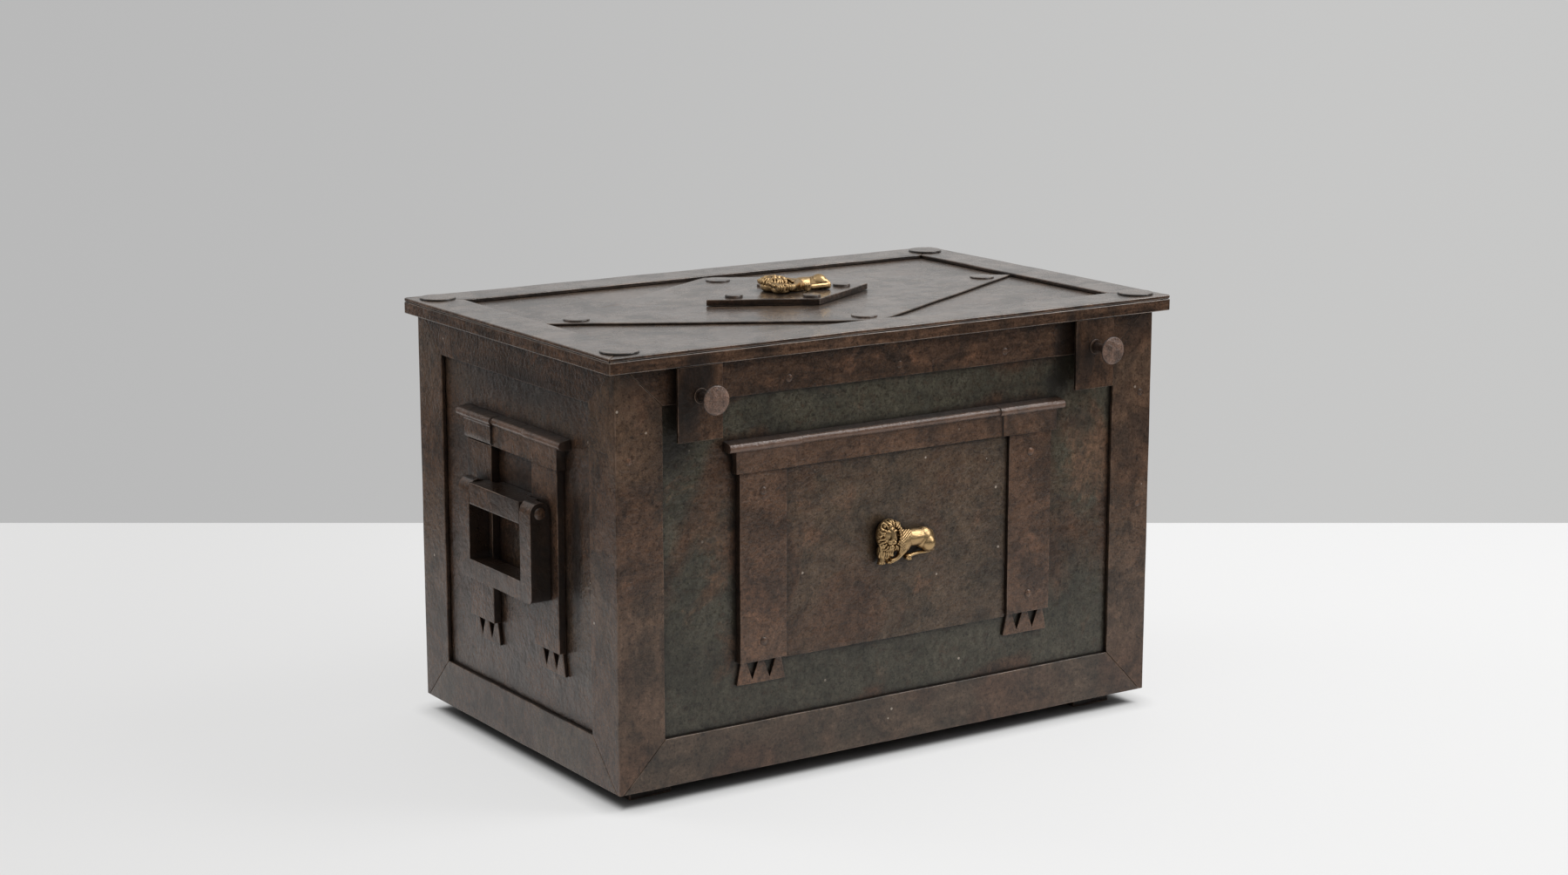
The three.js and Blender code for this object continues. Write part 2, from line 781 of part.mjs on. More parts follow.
// A hasp plate that hangs from the lid's front rim, and the knob bolt that slides through it
function addHasp(name, across) {
  const half = haspWidth / 2;
  const top = rimBottom - seatGap;
  const body = block([-half, top - haspLength, haspBack], [half, top, haspFace]);
  const ring = barOut(haspRingRadius, haspBack, haspFace + haspRingHeight, 0, knobHeight);
  const bore = barOut(shankRadius + shankGap, haspBack - overrun, haspFace + overrun, 0, knobHeight);
  const haspPlate = cut(joined(body, ring), bore);
  add(faces.front, `hasp_plate_${name}`, haspPlate, 'fittings').position.x = across;

  const tipTop = haspBack - seatGap;
  const headBack = knobFace - knobThickness;
  const profile = [
    [0, tipTop - tipLength],
    [tipRadius - discChamfer, tipTop - tipLength],
    [tipRadius, tipTop - tipLength + discChamfer],
    [tipRadius, tipTop],
    [shankRadius, tipTop],
    [shankRadius, headBack - knobNeckLength],
    [(shankRadius + knobNeckRadius) / 2, headBack - knobNeckLength / 3],
    [knobNeckRadius, headBack],
    [knobRadius - knobRimRound, headBack],
    [knobRadius, headBack + knobRimRound],
    [knobRadius, knobFace - knobDome - knobRimRound],
    [knobRadius - knobRimRound, knobFace - knobDome],
    [knobRadius / 2, knobFace - knobDome / 4],
    [0, knobFace],
  ];
  const knob = turned(profile, discSides).rotateX(Math.PI / 2);
  add(faces.front, `knob_bolt_${name}`, knob, 'fittings').position.set(across, knobHeight, 0);
}

// A butt hinge on the back: a leaf on the body, a leaf on the lid's rim, and a pin through both
function addHinge(name, across) {
  const half = hingeWidth / 2;
  const knuckleHalf = (hingeWidth * knuckleShare) / 2;
  const axis = hingeAxisHeight;
  const out = hingeAxisOut;
  const bore = barAcross(hingePinRadius + boreGap, -half - overrun, half + overrun, axis, out);
  const bodyLeafBack = seatGap;
  const bodyLeafFace = bodyLeafBack + hingeLeafThickness;
  const bodyLeafTop = axis - knuckleRadius - turnGap;
  const bodyPieces = [
    block([-half, axis - bodyLeafLength, bodyLeafBack], [half, bodyLeafTop, bodyLeafFace]),
  ];
  for (const side of [-1, 1]) {
    const ends = endsOf(side, knuckleHalf + turnGap / 2, half);
    bodyPieces.push(barAcross(knuckleRadius, ends[0], ends[1], axis, out));
    bodyPieces.push(block([ends[0], bodyLeafTop - overrun, bodyLeafBack], [ends[1], axis, bodyLeafFace]));
  }
  const bodyLeaf = cut(joined(...bodyPieces), bore);
  add(faces.back, `hinge_body_leaf_${name}`, bodyLeaf, 'fittings').position.x = across;

  const lidLeafBack = lidBackOverhang + seatGap;
  const lidLeafFace = lidLeafBack + hingeLeafThickness;
  const lidLeafBottom = axis + knuckleRadius + turnGap;
  const lidLeafTop = lidPlateTop - turnGap;
  const lidPieces = [
    block([-half, lidLeafBottom, lidLeafBack], [half, lidLeafTop, lidLeafFace]),
    barAcross(knuckleRadius, -knuckleHalf + turnGap / 2, knuckleHalf - turnGap / 2, axis, out),
    block(
      [-knuckleHalf + turnGap / 2, axis, lidLeafBack],
      [knuckleHalf - turnGap / 2, (lidLeafBottom + lidLeafTop) / 2, lidLeafFace],
    ),
  ];
  const lidLeaf = cut(joined(...lidPieces), bore);
  add(faces.back, `hinge_lid_leaf_${name}`, lidLeaf, 'fittings').position.x = across;

  const pin = headedPin(hingePinRadius, hingeHeadRadius, hingeHeadHeight, half + seatGap);
  add(faces.back, `hinge_pin_${name}`, pin, 'fittings').position.set(across, axis, out);
}

addShell();
addPosts();
addRails();
addFeet();
const lion = lionGeometry();
addFrontOrder(lion);
addSideOrder('left', 1);
addSideOrder('right', -1);
addHandle('left', 1);
addHandle('right', -1);
const lid = new THREE.Group();
chest.add(lid);
addLidPlate(lid);
addBorder(lid);
addLidOrnament(lid, lion);
addHasp('left', -haspOffset);
addHasp('right', haspOffset);
addHinge('right', -hingeOffset);
addHinge('left', hingeOffset);

export default model;
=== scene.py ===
"""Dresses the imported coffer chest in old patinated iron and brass, and sets it on a pale floor."""

import json
import math
from random import Random
from typing import NamedTuple

import bmesh
import bpy
import numpy as np
from bpy.props import FloatProperty, FloatVectorProperty, IntProperty, PointerProperty
from mathutils import Matrix, Vector, noise

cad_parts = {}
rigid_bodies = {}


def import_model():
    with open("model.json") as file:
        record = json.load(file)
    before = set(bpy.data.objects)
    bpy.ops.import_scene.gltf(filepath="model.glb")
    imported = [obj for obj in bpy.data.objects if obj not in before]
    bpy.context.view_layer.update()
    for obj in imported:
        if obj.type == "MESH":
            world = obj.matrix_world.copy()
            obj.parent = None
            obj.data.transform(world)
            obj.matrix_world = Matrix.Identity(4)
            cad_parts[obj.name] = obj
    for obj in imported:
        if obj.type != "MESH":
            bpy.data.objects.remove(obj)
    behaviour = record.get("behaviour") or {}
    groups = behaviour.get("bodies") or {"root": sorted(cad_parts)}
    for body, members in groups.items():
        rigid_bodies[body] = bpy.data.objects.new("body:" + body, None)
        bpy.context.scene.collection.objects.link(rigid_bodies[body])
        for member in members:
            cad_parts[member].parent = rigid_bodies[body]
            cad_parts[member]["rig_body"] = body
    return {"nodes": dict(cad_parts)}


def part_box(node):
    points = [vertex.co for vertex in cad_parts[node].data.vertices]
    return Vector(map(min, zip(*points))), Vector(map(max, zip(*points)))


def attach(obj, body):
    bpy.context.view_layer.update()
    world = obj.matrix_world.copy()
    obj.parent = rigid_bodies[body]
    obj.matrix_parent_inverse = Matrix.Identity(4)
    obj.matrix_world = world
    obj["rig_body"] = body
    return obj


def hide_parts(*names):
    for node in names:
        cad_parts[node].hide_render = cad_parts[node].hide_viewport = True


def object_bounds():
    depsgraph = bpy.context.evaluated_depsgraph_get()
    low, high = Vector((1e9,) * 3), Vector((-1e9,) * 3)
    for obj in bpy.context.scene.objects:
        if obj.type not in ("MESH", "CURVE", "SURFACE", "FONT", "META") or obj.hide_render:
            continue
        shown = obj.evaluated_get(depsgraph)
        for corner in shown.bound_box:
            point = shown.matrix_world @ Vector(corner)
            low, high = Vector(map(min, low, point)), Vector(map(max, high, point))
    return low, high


bl_info = {
    "name": "Iron coffer chest",
    "version": (1, 0, 0),
    "blender": (4, 5, 0),
    "location": "3D View > Sidebar > Chest",
    "description": "Makes the finished surfaces, fittings and setting of an old iron coffer chest",
    "category": "Object",
}

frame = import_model()
cad_low, cad_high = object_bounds()
MILLIMETRE = 0.001


# Settings


def length(name, description, millimetres):
    """A length property with its default given in millimetres."""
    default = millimetres * MILLIMETRE
    return FloatProperty(name=name, description=description, default=default, unit="LENGTH", precision=5)


def number(name, description, default, **more):
    return FloatProperty(name=name, description=description, default=default, **more)


def whole(name, description, default, least):
    """A whole number property."""
    return IntProperty(name=name, description=description, default=default, min=least)


def colour(name, description, values):
    """A colour property, in linear light."""
    return FloatVectorProperty(
        name=name, description=description, subtype="COLOR", size=3, default=values, min=0, max=1
    )


class ChestSizes(bpy.types.PropertyGroup):
    """Sizes of the rounded edges, which show rubbed metal and a painted highlight, the small fittings and the
    unevenness of the forged iron.
    """

    sheet_edge: length("Sheet edge", "Rounding of the sheets' edges", 0.4)
    strip_edge: length("Strip edge", "Rounding of the strips' edges", 0.7)
    lid_edge: length("Lid edge", "Rounding of the lid plates' edges", 0.9)
    moulding_edge: length("Moulding edge", "Rounding of the pilasters' and cornices' edges", 0.6)
    # The rubbed part of a roll also carries a painted highlight
    roll_depth: length("Roll depth", "How far back the rubbed part of a cornice's roll reaches", 6)
    fitting_edge: length("Fitting edge", "Rounding of the handles' and feet's edges", 1.4)
    forged_step: length("Forged step", "Distance between the cuts that let a plate bend", 12)
    forged_wave: length("Forged wave", "How far forged edges stray from straight", 0.35)
    forged_reach: length("Forged reach", "Length of the waves in forged edges", 55)
    forged_seed: whole("Forged seed", "Seed of the waves in forged edges", 5, 1)
    rivet_radius: length("Rivet radius", "Radius of the rivets in the pilasters", 3.7)
    rivet_height: length("Rivet height", "Height of the rivets in the pilasters", 1.3)
    rivet_inset: length("Rivet inset", "From a pilaster's ends to its rivets", 18)
    flush_radius: length("Flush rivet radius", "Radius of the filed rivets in the strips", 3.3)
    flush_height: length("Flush rivet height", "Height of the filed rivets in the strips", 0.5)
    flush_spacing: length("Flush rivet spacing", "Spacing of the filed rivets along a strip", 121)
    flush_outer: length("Flush rivet edge", "From a corner post's outer edge to its filed rivets", 13)
    flush_inset: length("Flush rivet inset", "From a strip's inner edge to its filed rivets", 11)
    leaf_radius: length("Leaf rivet radius", "Radius of the rivets in the hinge leaves", 3.2)
    leaf_height: length("Leaf rivet height", "Height of the rivets in the hinge leaves", 1.2)
    rivet_sides: whole("Rivet sides", "Sides of a rivet", 40, 12)
    paint_reach: length("Paint reach", "How far in and out from the front's strips its patches reach", 16)
    # How far the painted shade of the corners reaches, through ambient occlusion
    corner_shade_reach: length("Grime reach", "How far grime spreads from a corner", 11)
    lion_voxel: length("Lion voxel", "Fineness of the cast lions", 0.36)
    knob_thickness: length("Knob thickness", "Thickness of a knob's head at its rim", 4.5)
    knob_shank: length("Knob shank", "Radius of a knob bolt's shank", 4)
    knob_tip: length("Knob tip", "Radius of the collar at a knob bolt's tip", 5)
    knob_tip_length: length("Knob tip length", "Length of the collar at a knob bolt's tip", 3)
    knob_neck: length("Knob neck", "Length of the flare under a knob's head", 6)
    head_sides: whole("Head sides", "Sides of a turned piece", 72, 12)


class IronColours(bpy.types.PropertyGroup):
    """Colours of the old iron and of the brass."""

    black: colour("Black iron", "Darkest tone of the iron", (0.020, 0.013, 0.009))
    brown: colour("Brown iron", "Main brown of the iron", (0.074, 0.040, 0.024))
    green: colour("Green-grey iron", "Green-grey bloom of the sheets", (0.044, 0.042, 0.030))
    rust: colour("Rust", "Thin red-brown rust", (0.125, 0.060, 0.032))
    lid: colour("Lid brown", "Smoothed brown of the lid", (0.088, 0.057, 0.039))
    # Rubbed metal on the edges, which also stands in for a painted highlight on them
    edge: colour("Worn edge", "Metal that shows on rubbed edges", (0.23, 0.155, 0.112))
    nick: colour("Nicks", "Small bright nicks and scratches", (0.45, 0.38, 0.31))
    # The dark of the painted shade in corners, on side faces and in shadow patches, and of grime
    grime: colour("Grime", "Black grime of the corners", (0.006, 0.004, 0.003))
    knob: colour("Knob", "Rubbed red-brown of the knobs", (0.155, 0.092, 0.066))
    brass: colour("Brass", "Bright brass of the lions", (0.46, 0.31, 0.155))
    brass_dark: colour("Brass hollows", "Dark oxide in the lions' hollows", (0.035, 0.019, 0.008))


class StageSettings(bpy.types.PropertyGroup):
    """Camera, floor, wall and lamps."""

    lens: number("Lens", "Focal length on a 36 mm sensor", 66.395, unit="CAMERA")
    place: FloatVectorProperty(
        name="Camera place", description="Where the camera stands", subtype="TRANSLATION", size=3,
        default=(-1.51685, -2.28032, 0.85111),
    )
    turn: number(
        "Camera turn", "How far the camera turns to the right from +Y", math.radians(33.4257), subtype="ANGLE"
    )
    tilt: number("Camera tilt", "How far the camera looks down", math.radians(11.9125), subtype="ANGLE")
    wall_distance: number("Wall distance", "From the camera to the wall, level", 3.517, unit="LENGTH")
    wall_left: colour("Wall left", "Wall at the left of the picture", (0.485, 0.485, 0.485))
    wall_right: colour("Wall right", "Wall at the right of the picture", (0.575, 0.575, 0.57))
    floor_left: colour("Floor left", "Floor at the left of the picture", (0.75, 0.748, 0.745))
    floor_right: colour("Floor right", "Floor at the right of the picture", (0.87, 0.87, 0.868))
    # Its glowing share carries the painted shadow round and under the chest in place of the lamps' shade
    glow: number(
        "Floor glow", "Share of the floor that shows its own colour, with no shade", 0.75, subtype="FACTOR"
    )
    table: number(
        "Table", "Distance from the chest at which its iron mirrors less of the floor", 0.62, unit="LENGTH"
    )
    # Reaches of the painted contact shadow round the chest and of the painted shadow under it
    shade_reach: length("Contact shade", "Reach of the shade where something stands on the floor", 25)
    underside: length("Underside", "How far light from the room reaches under the chest", 15)
    world: number("World light", "Strength of the even light", 0.54)
    right: number("Right lamp", "Power of the lamp at the right of the front", 36)
    left: number("Left lamp", "Power of the lamp behind the left end", 22)
    top: number("Top lamp", "Power of the lamp overhead", 30)


# Scene and node helpers


def add_object(name, data):
    """Puts a mesh, a lamp or a camera into the scene."""
    made = bpy.data.objects.new(name, data)
    bpy.context.scene.collection.objects.link(made)
    return made


def mesh_of(holder):
    """The plain mesh that an object's modifiers give. The object itself is removed."""
    graph = bpy.context.evaluated_depsgraph_get()
    made = bpy.data.meshes.new_from_object(holder.evaluated_get(graph))
    holder.modifiers.clear()
    bpy.data.objects.remove(holder)
    return made


def box_of(places):
    """The lowest and the highest corner round a list of places."""
    return [Vector([pick(place[axis] for place in places) for axis in range(3)]) for pick in (min, max)]


def middle_of(node):
    low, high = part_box(node)
    return (low + high) / 2


# The noises of the metals: features per metre, layers of detail, roughness and distortion
NOISES = {
    "strokes": (170.0, 4.0, 0.6, 0.4),
    "clouds": (7.0, 5.0, 0.6, 0.6),
    "blotches": (26.0, 7.0, 0.7, 0.6),
    "mottle": (150.0, 4.0, 0.65, 0.0),
    "fine": (620.0, 3.0, 0.7, 0.0),
    "pits": (330.0, 2.0, 0.5, 0.0),
    "rust": (15.0, 7.0, 0.7, 1.0),
    "hairs": (130.0, 1.0, 0.5, 0.0),
    "hammer": (55.0, 2.0, 0.5, 0.0),
    "pebble": (240.0, 3.0, 0.62, 0.0),
    "cast": (300.0, 4.0, 0.6, 0.0),
}


class Tree:
    """A node tree, with a short call for each kind of node that is often added."""

    def __init__(self, tree):
        self.tree = tree

    def add(self, kind, inputs=None, **settings):
        """Adds a node, sets its options, and sets or links its inputs."""
        made = self.tree.nodes.new(kind)
        for name, value in settings.items():
            setattr(made, name, value)
        for key, value in (inputs or {}).items():
            if isinstance(value, bpy.types.NodeSocket):
                self.tree.links.new(value, made.inputs[key])
            else:
                made.inputs[key].default_value = value
        return made

    def maths(self, operation, *values):
        """A sum on two values, or on more from the first to the last."""
        total = values[0]
        for value in values[1:]:
            total = self.add("ShaderNodeMath", {0: total, 1: value}, operation=operation).outputs[0]
        return total

    def plus(self, *values):
        return self.maths("ADD", *values)

    def minus(self, first, second):
        return self.maths("SUBTRACT", first, second)

    def times(self, *values):
        return self.maths("MULTIPLY", *values)

    def most(self, *values):
        return self.maths("MAXIMUM", *values)

    def off_centre(self, value):
        """How far a value is from a half."""
        return self.maths("ABSOLUTE", self.minus(value, 0.5), 0.0)

    def vector(self, operation, first, second=None, output=0):
        """A sum on one or two vectors."""
        inputs = {0: first} if second is None else {0: first, 1: second}
        return self.add("ShaderNodeVectorMath", inputs, operation=operation).outputs[output]

    def mix(self, share, first, second, blend="MIX"):
        """Mixes two colours."""
        pair = [tone if isinstance(tone, bpy.types.NodeSocket) else (*tone, 1) for tone in (first, second)]
        inputs = {0: share, 6: pair[0], 7: pair[1]}
        return self.add("ShaderNodeMix", inputs, data_type="RGBA", blend_type=blend).outputs[2]

    def grain(self, place, name):
        """One of the noises."""
        scale, detail, roughness, distortion = NOISES[name]
        inputs = {"Vector": place, "Scale": scale, "Detail": detail, "Roughness": roughness}
        return self.add("ShaderNodeTexNoise", {**inputs, "Distortion": distortion}).outputs[0]

    def ramp(self, value, low, high, start=0.0, end=1.0):
        """A smooth step of a value, from start below low to end above high."""
        inputs = {"Value": value, "From Min": low, "From Max": high, "To Min": start, "To Max": end}
        return self.add("ShaderNodeMapRange", inputs, interpolation_type="SMOOTHSTEP").outputs[0]

    def stretched(self, place, scale, turn):
        """Coordinates that are turned and stretched, for streaks."""
        return self.add("ShaderNodeMapping", {"Vector": place, "Scale": scale, "Rotation": turn}).outputs[0]

    def mark(self, name):
        """A value that is written on the piece."""
        return self.add("ShaderNodeAttribute", attribute_name=name).outputs["Fac"]

    def bump(self, height):
        """Relief of a height in millimetres."""
        inputs = {"Height": height, "Strength": 1.0, "Distance": MILLIMETRE}
        return self.add("ShaderNodeBump", inputs).outputs[0]

    def show(self, surface):
        """Ends a material's tree with its surface."""
        self.add("ShaderNodeOutputMaterial", {"Surface": surface.outputs[0]})


def new_material(name):
    """A material and its empty tree."""
    material = bpy.data.materials.new(name)
    material.use_nodes = True
    material.node_tree.nodes.clear()
    return material, Tree(material.node_tree)


# Materials


class Finish(NamedTuple):
    """What sets one finish of the iron apart."""

    ground: str = "brown"  # name of its ground colour
    light: float = 1.0  # how light it is
    green: float = 0.0  # share of green-grey bloom
    rust: float = 0.6  # share of rust
    hammer: float = 0.6  # strength of the broad dents
    pebble: float = 1.0  # strength of the small bumps
    rough: float = 0.17  # roughness of its cleaner parts
    shine: float = 0.5  # specular level
    lacquer: float = 0.0  # share of a clear coat of oil
    worn_and_lit: float = 0.5  # how far its edges show rubbed metal and a painted highlight
    strokes: float = 0.1  # strength of its streaks
    stretch: tuple = (1, 1, 1)  # scale of the streaks along each axis
    turn: tuple = (0, 0, 0)  # turn of the streaks


FINISHES = {
    "panel": Finish(
        light=0.98, green=0.9, hammer=0.8, shine=0.34, strokes=0.12, stretch=(1, 1, 0.5), turn=(0, 0.5, 0)
    ),
    "end panel": Finish(
        light=0.8, green=0.3, rust=0.5, hammer=1.3, pebble=2.0, rough=0.11, shine=0.46, lacquer=0.15,
        worn_and_lit=0.4, strokes=0.14, stretch=(1, 1, 0.5), turn=(0.5, 0, 0),
    ),
    "field": Finish(
        light=1.02, green=0.45, hammer=0.9, pebble=1.8, shine=0.37, strokes=0.12, stretch=(1, 1, 0.5),
        turn=(0, 0.85, 0),
    ),
    "upright strip": Finish(
        light=1.04, green=0.2, rough=0.16, shine=0.36, lacquer=0.05, worn_and_lit=0.45, strokes=0.15,
        stretch=(1, 1, 0.3),
    ),
    "bottom strip": Finish(
        light=0.94, green=0.4, rust=0.4, hammer=0.5, pebble=0.7, shine=0.42, lacquer=0.05, strokes=0.16,
        stretch=(0.25, 0.25, 1),
    ),
    "top strip": Finish(
        light=0.77, green=0.05, rust=1.3, pebble=2.0, shine=0.26, worn_and_lit=0.35, strokes=0.28,
        stretch=(0.25, 0.25, 1),
    ),
    "moulding": Finish(
        light=1.12, green=0.05, hammer=0.7, pebble=1.6, rough=0.16, shine=0.4, lacquer=0.05,
        stretch=(1, 1, 0.6),
    ),
    "lid": Finish(
        ground="lid", green=0.15, rust=0.5, hammer=0.5, pebble=0.8, rough=0.22, lacquer=0.55, worn_and_lit=0.3,
        strokes=0.28, stretch=(0.15, 0.5, 1),
    ),
    "lid rim": Finish(
        light=0.78, rust=1.0, pebble=1.6, shine=0.24, worn_and_lit=0.3, strokes=0.5, stretch=(0.12, 0.12, 1)
    ),
    "head": Finish(
        ground="lid", light=1.1, green=0.1, hammer=0.5, pebble=1.4, rough=0.25, lacquer=0.6, worn_and_lit=0.4
    ),
    "fitting": Finish(
        light=0.8, rust=0.4, pebble=0.9, rough=0.13, shine=0.45, lacquer=0.2, worn_and_lit=0.6, strokes=0.15,
        stretch=(1, 1, 0.4),
    ),
    "hasp": Finish(light=0.86, pebble=1.2, shine=0.3, worn_and_lit=0.6, strokes=0.3, stretch=(1, 1, 0.25)),
    "rivet": Finish(light=1.35, rust=1.0, hammer=0.4, pebble=1.2, rough=0.16, shine=0.42, lacquer=0.05),
    "knob": Finish(ground="knob", light=0.9, rust=0.2, hammer=0.3, pebble=3.0, lacquer=0.05, worn_and_lit=0.4),
}

# How each noise shades the iron: the values between which it changes, and the shades at those two
SHADES = {
    "mottle": (0.3, 0.7, 0.76, 1.24),
    "fine": (0.3, 0.7, 0.74, 1.28),
    "pits": (0.56, 0.66, 1.02, 0.62),
    "blotches": (0.35, 0.65, 0.84, 1.15),
    "clouds": (0.35, 0.65, 0.85, 1.14),
}

# Heights of the iron's relief at full strength, in millimetres
HAMMER_RELIEF, PEBBLE_RELIEF, STROKE_RELIEF = 1.1, 0.44, 0.6
FINE_RELIEF, FINE_PEBBLE_RELIEF = 0.06, 0.1

TONE_SHIFT = (7.3, 5.1, 3.7)
NICKS_PER_METRE, NICK_RADIUS = 36.0, 0.045
HAIR_STRETCH, HAIR_TURN, HAIR_WIDTH = (0.35, 0.35, 1.9), (0.6, 0.5, 0), 0.006
LACQUER_ROUGHNESS = 0.18


def iron_tones(tree, look, grains, spots):
    """The iron's tones, from its black and its ground colour up to rust, shaded by every noise."""
    colours = bpy.context.scene.chest_colours
    ground = getattr(colours, look.ground)
    tint = tree.mix(tree.ramp(grains["blotches"], 0.36, 0.54, 0.5, 1.0), colours.black, ground)
    bloom = tree.ramp(tree.plus(grains["clouds"], tree.times(tree.mark("green"), 0.25)), 0.44, 0.6)
    bloom = tree.times(bloom, look.green, tree.ramp(grains["mottle"], 0.25, 0.5, 0.5, 1.0))
    tint = tree.mix(bloom, tint, colours.green)
    tint = tree.mix(tree.times(spots, look.rust), tint, colours.rust)
    streaks = tree.ramp(grains["strokes"], 0.3, 0.7, 1 - look.strokes, 1 + look.strokes)
    shades = [tree.ramp(grains[name], *shade) for name, shade in SHADES.items()]
    shade = tree.times(streaks, look.light, *shades)
    grey = tree.add("ShaderNodeCombineColor", {0: shade, 1: shade, 2: shade}).outputs[0]
    return tree.mix(1.0, tint, grey, "MULTIPLY")


def bright_marks(tree, place, grains):
    """The share of bright nicks and hairline scratches."""
    cells = tree.add("ShaderNodeTexVoronoi", {"Vector": place, "Scale": NICKS_PER_METRE, "Randomness": 1.0})
    nick = tree.maths("LESS_THAN", cells.outputs["Distance"], NICK_RADIUS)
    nick = tree.times(nick, tree.ramp(grains["clouds"], 0.47, 0.56))
    lines = tree.grain(tree.stretched(place, HAIR_STRETCH, HAIR_TURN), "hairs")
    hair = tree.ramp(tree.off_centre(lines), 0.0, HAIR_WIDTH, 1.0, 0.0)
    hair = tree.times(hair, tree.ramp(grains["blotches"], 0.54, 0.66, 0.0, 0.5))
    return tree.most(tree.times(nick, 0.65), tree.times(hair, 0.35))


def shade_and_grime_share(tree, grains, open_air):
    """The share of painted shade and black grime: painted shade in the corners, from ambient occlusion, and
    on the sides of plates, and the painted patches of shadow and grime.
    """
    # Painted shade in corners and recesses, from ambient occlusion
    corners = tree.ramp(tree.plus(open_air, tree.times(grains["mottle"], 0.3)), 0.6, 1.1, 0.95, 0.0)
    # Painted shade on the faces of a plate that look sideways
    sides = tree.times(tree.mark("side"), 0.8)
    # The painted patches: mostly painted shadows, with some grime
    painted = tree.plus(tree.mark("grime"), tree.times(tree.minus(grains["blotches"], 0.5), 1.5))
    return tree.most(corners, sides, tree.ramp(painted, 0.3, 0.9, 0.0, 0.8))


def iron(name, finish, edges=False):
    """Old iron under oil and rust, with painted shade and grime. Edges shows the bright metal of rubbed
    edges, which also stands in for a painted highlight on them.
    """
    colours = bpy.context.scene.chest_colours
    look = FINISHES[finish]
    tree = new_material(name)[1]
    corner = tree.add("ShaderNodeTexCoord").outputs["Object"]
    shift = tree.add("ShaderNodeVectorMath", {0: TONE_SHIFT, "Scale": tree.mark("tone")}, operation="SCALE")
    place = tree.vector("ADD", corner, shift.outputs[0])
    grains = {key: tree.grain(place, key) for key in ("rust", "hammer", "pebble", *SHADES)}
    grains["strokes"] = tree.grain(tree.stretched(place, look.stretch, look.turn), "strokes")
    blotches = grains["blotches"]
    # Ambient occlusion, for the painted shade of the corners and to spare the corners' edges
    reach = {"Distance": bpy.context.scene.chest_sizes.corner_shade_reach}
    open_air = tree.add("ShaderNodeAmbientOcclusion", reach, samples=6).outputs["AO"]
    spots = tree.ramp(tree.plus(grains["rust"], tree.times(tree.mark("rust"), 0.2)), 0.58, 0.74)
    spots = tree.times(spots, tree.ramp(grains["mottle"], 0.3, 0.6, 0.4, 1.0))
    grime = shade_and_grime_share(tree, grains, open_air)
    # The cornices' rolls: rubbed metal, which also stands in for a painted highlight along them
    bare = tree.times(tree.ramp(blotches, 0.36, 0.66, 0.3, 1.0), tree.mark("bare"))

    tint = tree.mix(bright_marks(tree, place, grains), iron_tones(tree, look, grains, spots), colours.nick)
    if edges:
        # Rubbed metal and a painted highlight on the edges, less in the corners
        rubbed_and_lit = tree.ramp(blotches, 0.42, 0.62, 0.0, 1.0)
        tint = tree.mix(tree.times(rubbed_and_lit, look.worn_and_lit, tree.ramp(open_air, 0.4, 0.9)), tint, colours.edge)
    else:
        # Painted shade and grime darken the iron
        tint = tree.mix(grime, tint, colours.grime)
    tint = tree.mix(bare, tint, colours.knob)

    relief = tree.plus(
        tree.times(grains["hammer"], HAMMER_RELIEF * look.hammer),
        tree.times(grains["pebble"], PEBBLE_RELIEF * look.pebble),
        tree.times(grains["strokes"], STROKE_RELIEF * look.strokes),
        tree.times(grains["fine"], FINE_RELIEF + FINE_PEBBLE_RELIEF * look.pebble),
    )
    rough = tree.ramp(blotches, 0.35, 0.65, look.rough + 0.1, look.rough - 0.04)
    rough = tree.plus(rough, tree.times(spots, 0.15), tree.times(grime, 0.2))
    surface = {
        "Base Color": tint,
        "Roughness": tree.minus(rough, tree.times(bare, 0.08)),
        "Specular IOR Level": look.shine,
        "Normal": tree.bump(relief),
        "Coat Weight": look.lacquer,
        "Coat Roughness": LACQUER_ROUGHNESS,
    }
    tree.show(tree.add("ShaderNodeBsdfPrincipled", surface))


def brass(name):
    """Old cast brass, dark in its hollows and bright on its high points."""
    colours = bpy.context.scene.chest_colours
    material, tree = new_material(name)
    mottle = tree.grain(tree.add("ShaderNodeTexCoord").outputs["Object"], "cast")
    soiled = tree.plus(tree.mark("hollow"), tree.ramp(mottle, 0.35, 0.75, -0.08, 0.1))
    surface = {
        "Base Color": tree.mix(tree.ramp(soiled, 0.32, 0.85), colours.brass, colours.brass_dark),
        "Roughness": tree.ramp(soiled, 0.1, 0.9, 0.3, 0.6),
        "Metallic": 1.0,
        "Normal": tree.bump(tree.times(mottle, 0.12)),
    }
    tree.show(tree.add("ShaderNodeBsdfPrincipled", surface))
    return material


def finish_pair(finish):
    """A finish and its edge, which shows rubbed metal and a painted highlight, made once."""
    names = f"{finish} iron", f"{finish} iron, rubbed edge"
    if names[0] not in bpy.data.materials:
        iron(names[0], finish)
        iron(names[1], finish, edges=True)
    return [bpy.data.materials[name] for name in names]


# Shape helpers


SIDEWAYS = 0.6  # a face is a side where no broad direction takes up more of its normal than this
SHARP = math.radians(50)  # edges that turn further than this are rounded, and shade as edges


def merged(node):
    """A clean copy of a frame node: one shell with flat faces in place of loose triangles."""
    shell = bmesh.new()
    shell.from_mesh(frame["nodes"][node].data)
    bmesh.ops.remove_doubles(shell, verts=shell.verts, dist=0.002 * MILLIMETRE)
    bmesh.ops.dissolve_limit(shell, angle_limit=math.radians(0.5), verts=shell.verts, edges=shell.edges)
    return shell


def soften(shell, width):
    """Rounds the outward edges of a shell and gives them the second material."""
    sharp = [e for e in shell.edges if len(e.link_faces) == 2 and e.calc_face_angle_signed(0) > SHARP]
    bmesh.ops.bevel(
        shell, geom=sharp, offset=width, offset_type="OFFSET", segments=2, profile=0.5,
        affect="EDGES", clamp_overlap=True, material=1,
    )


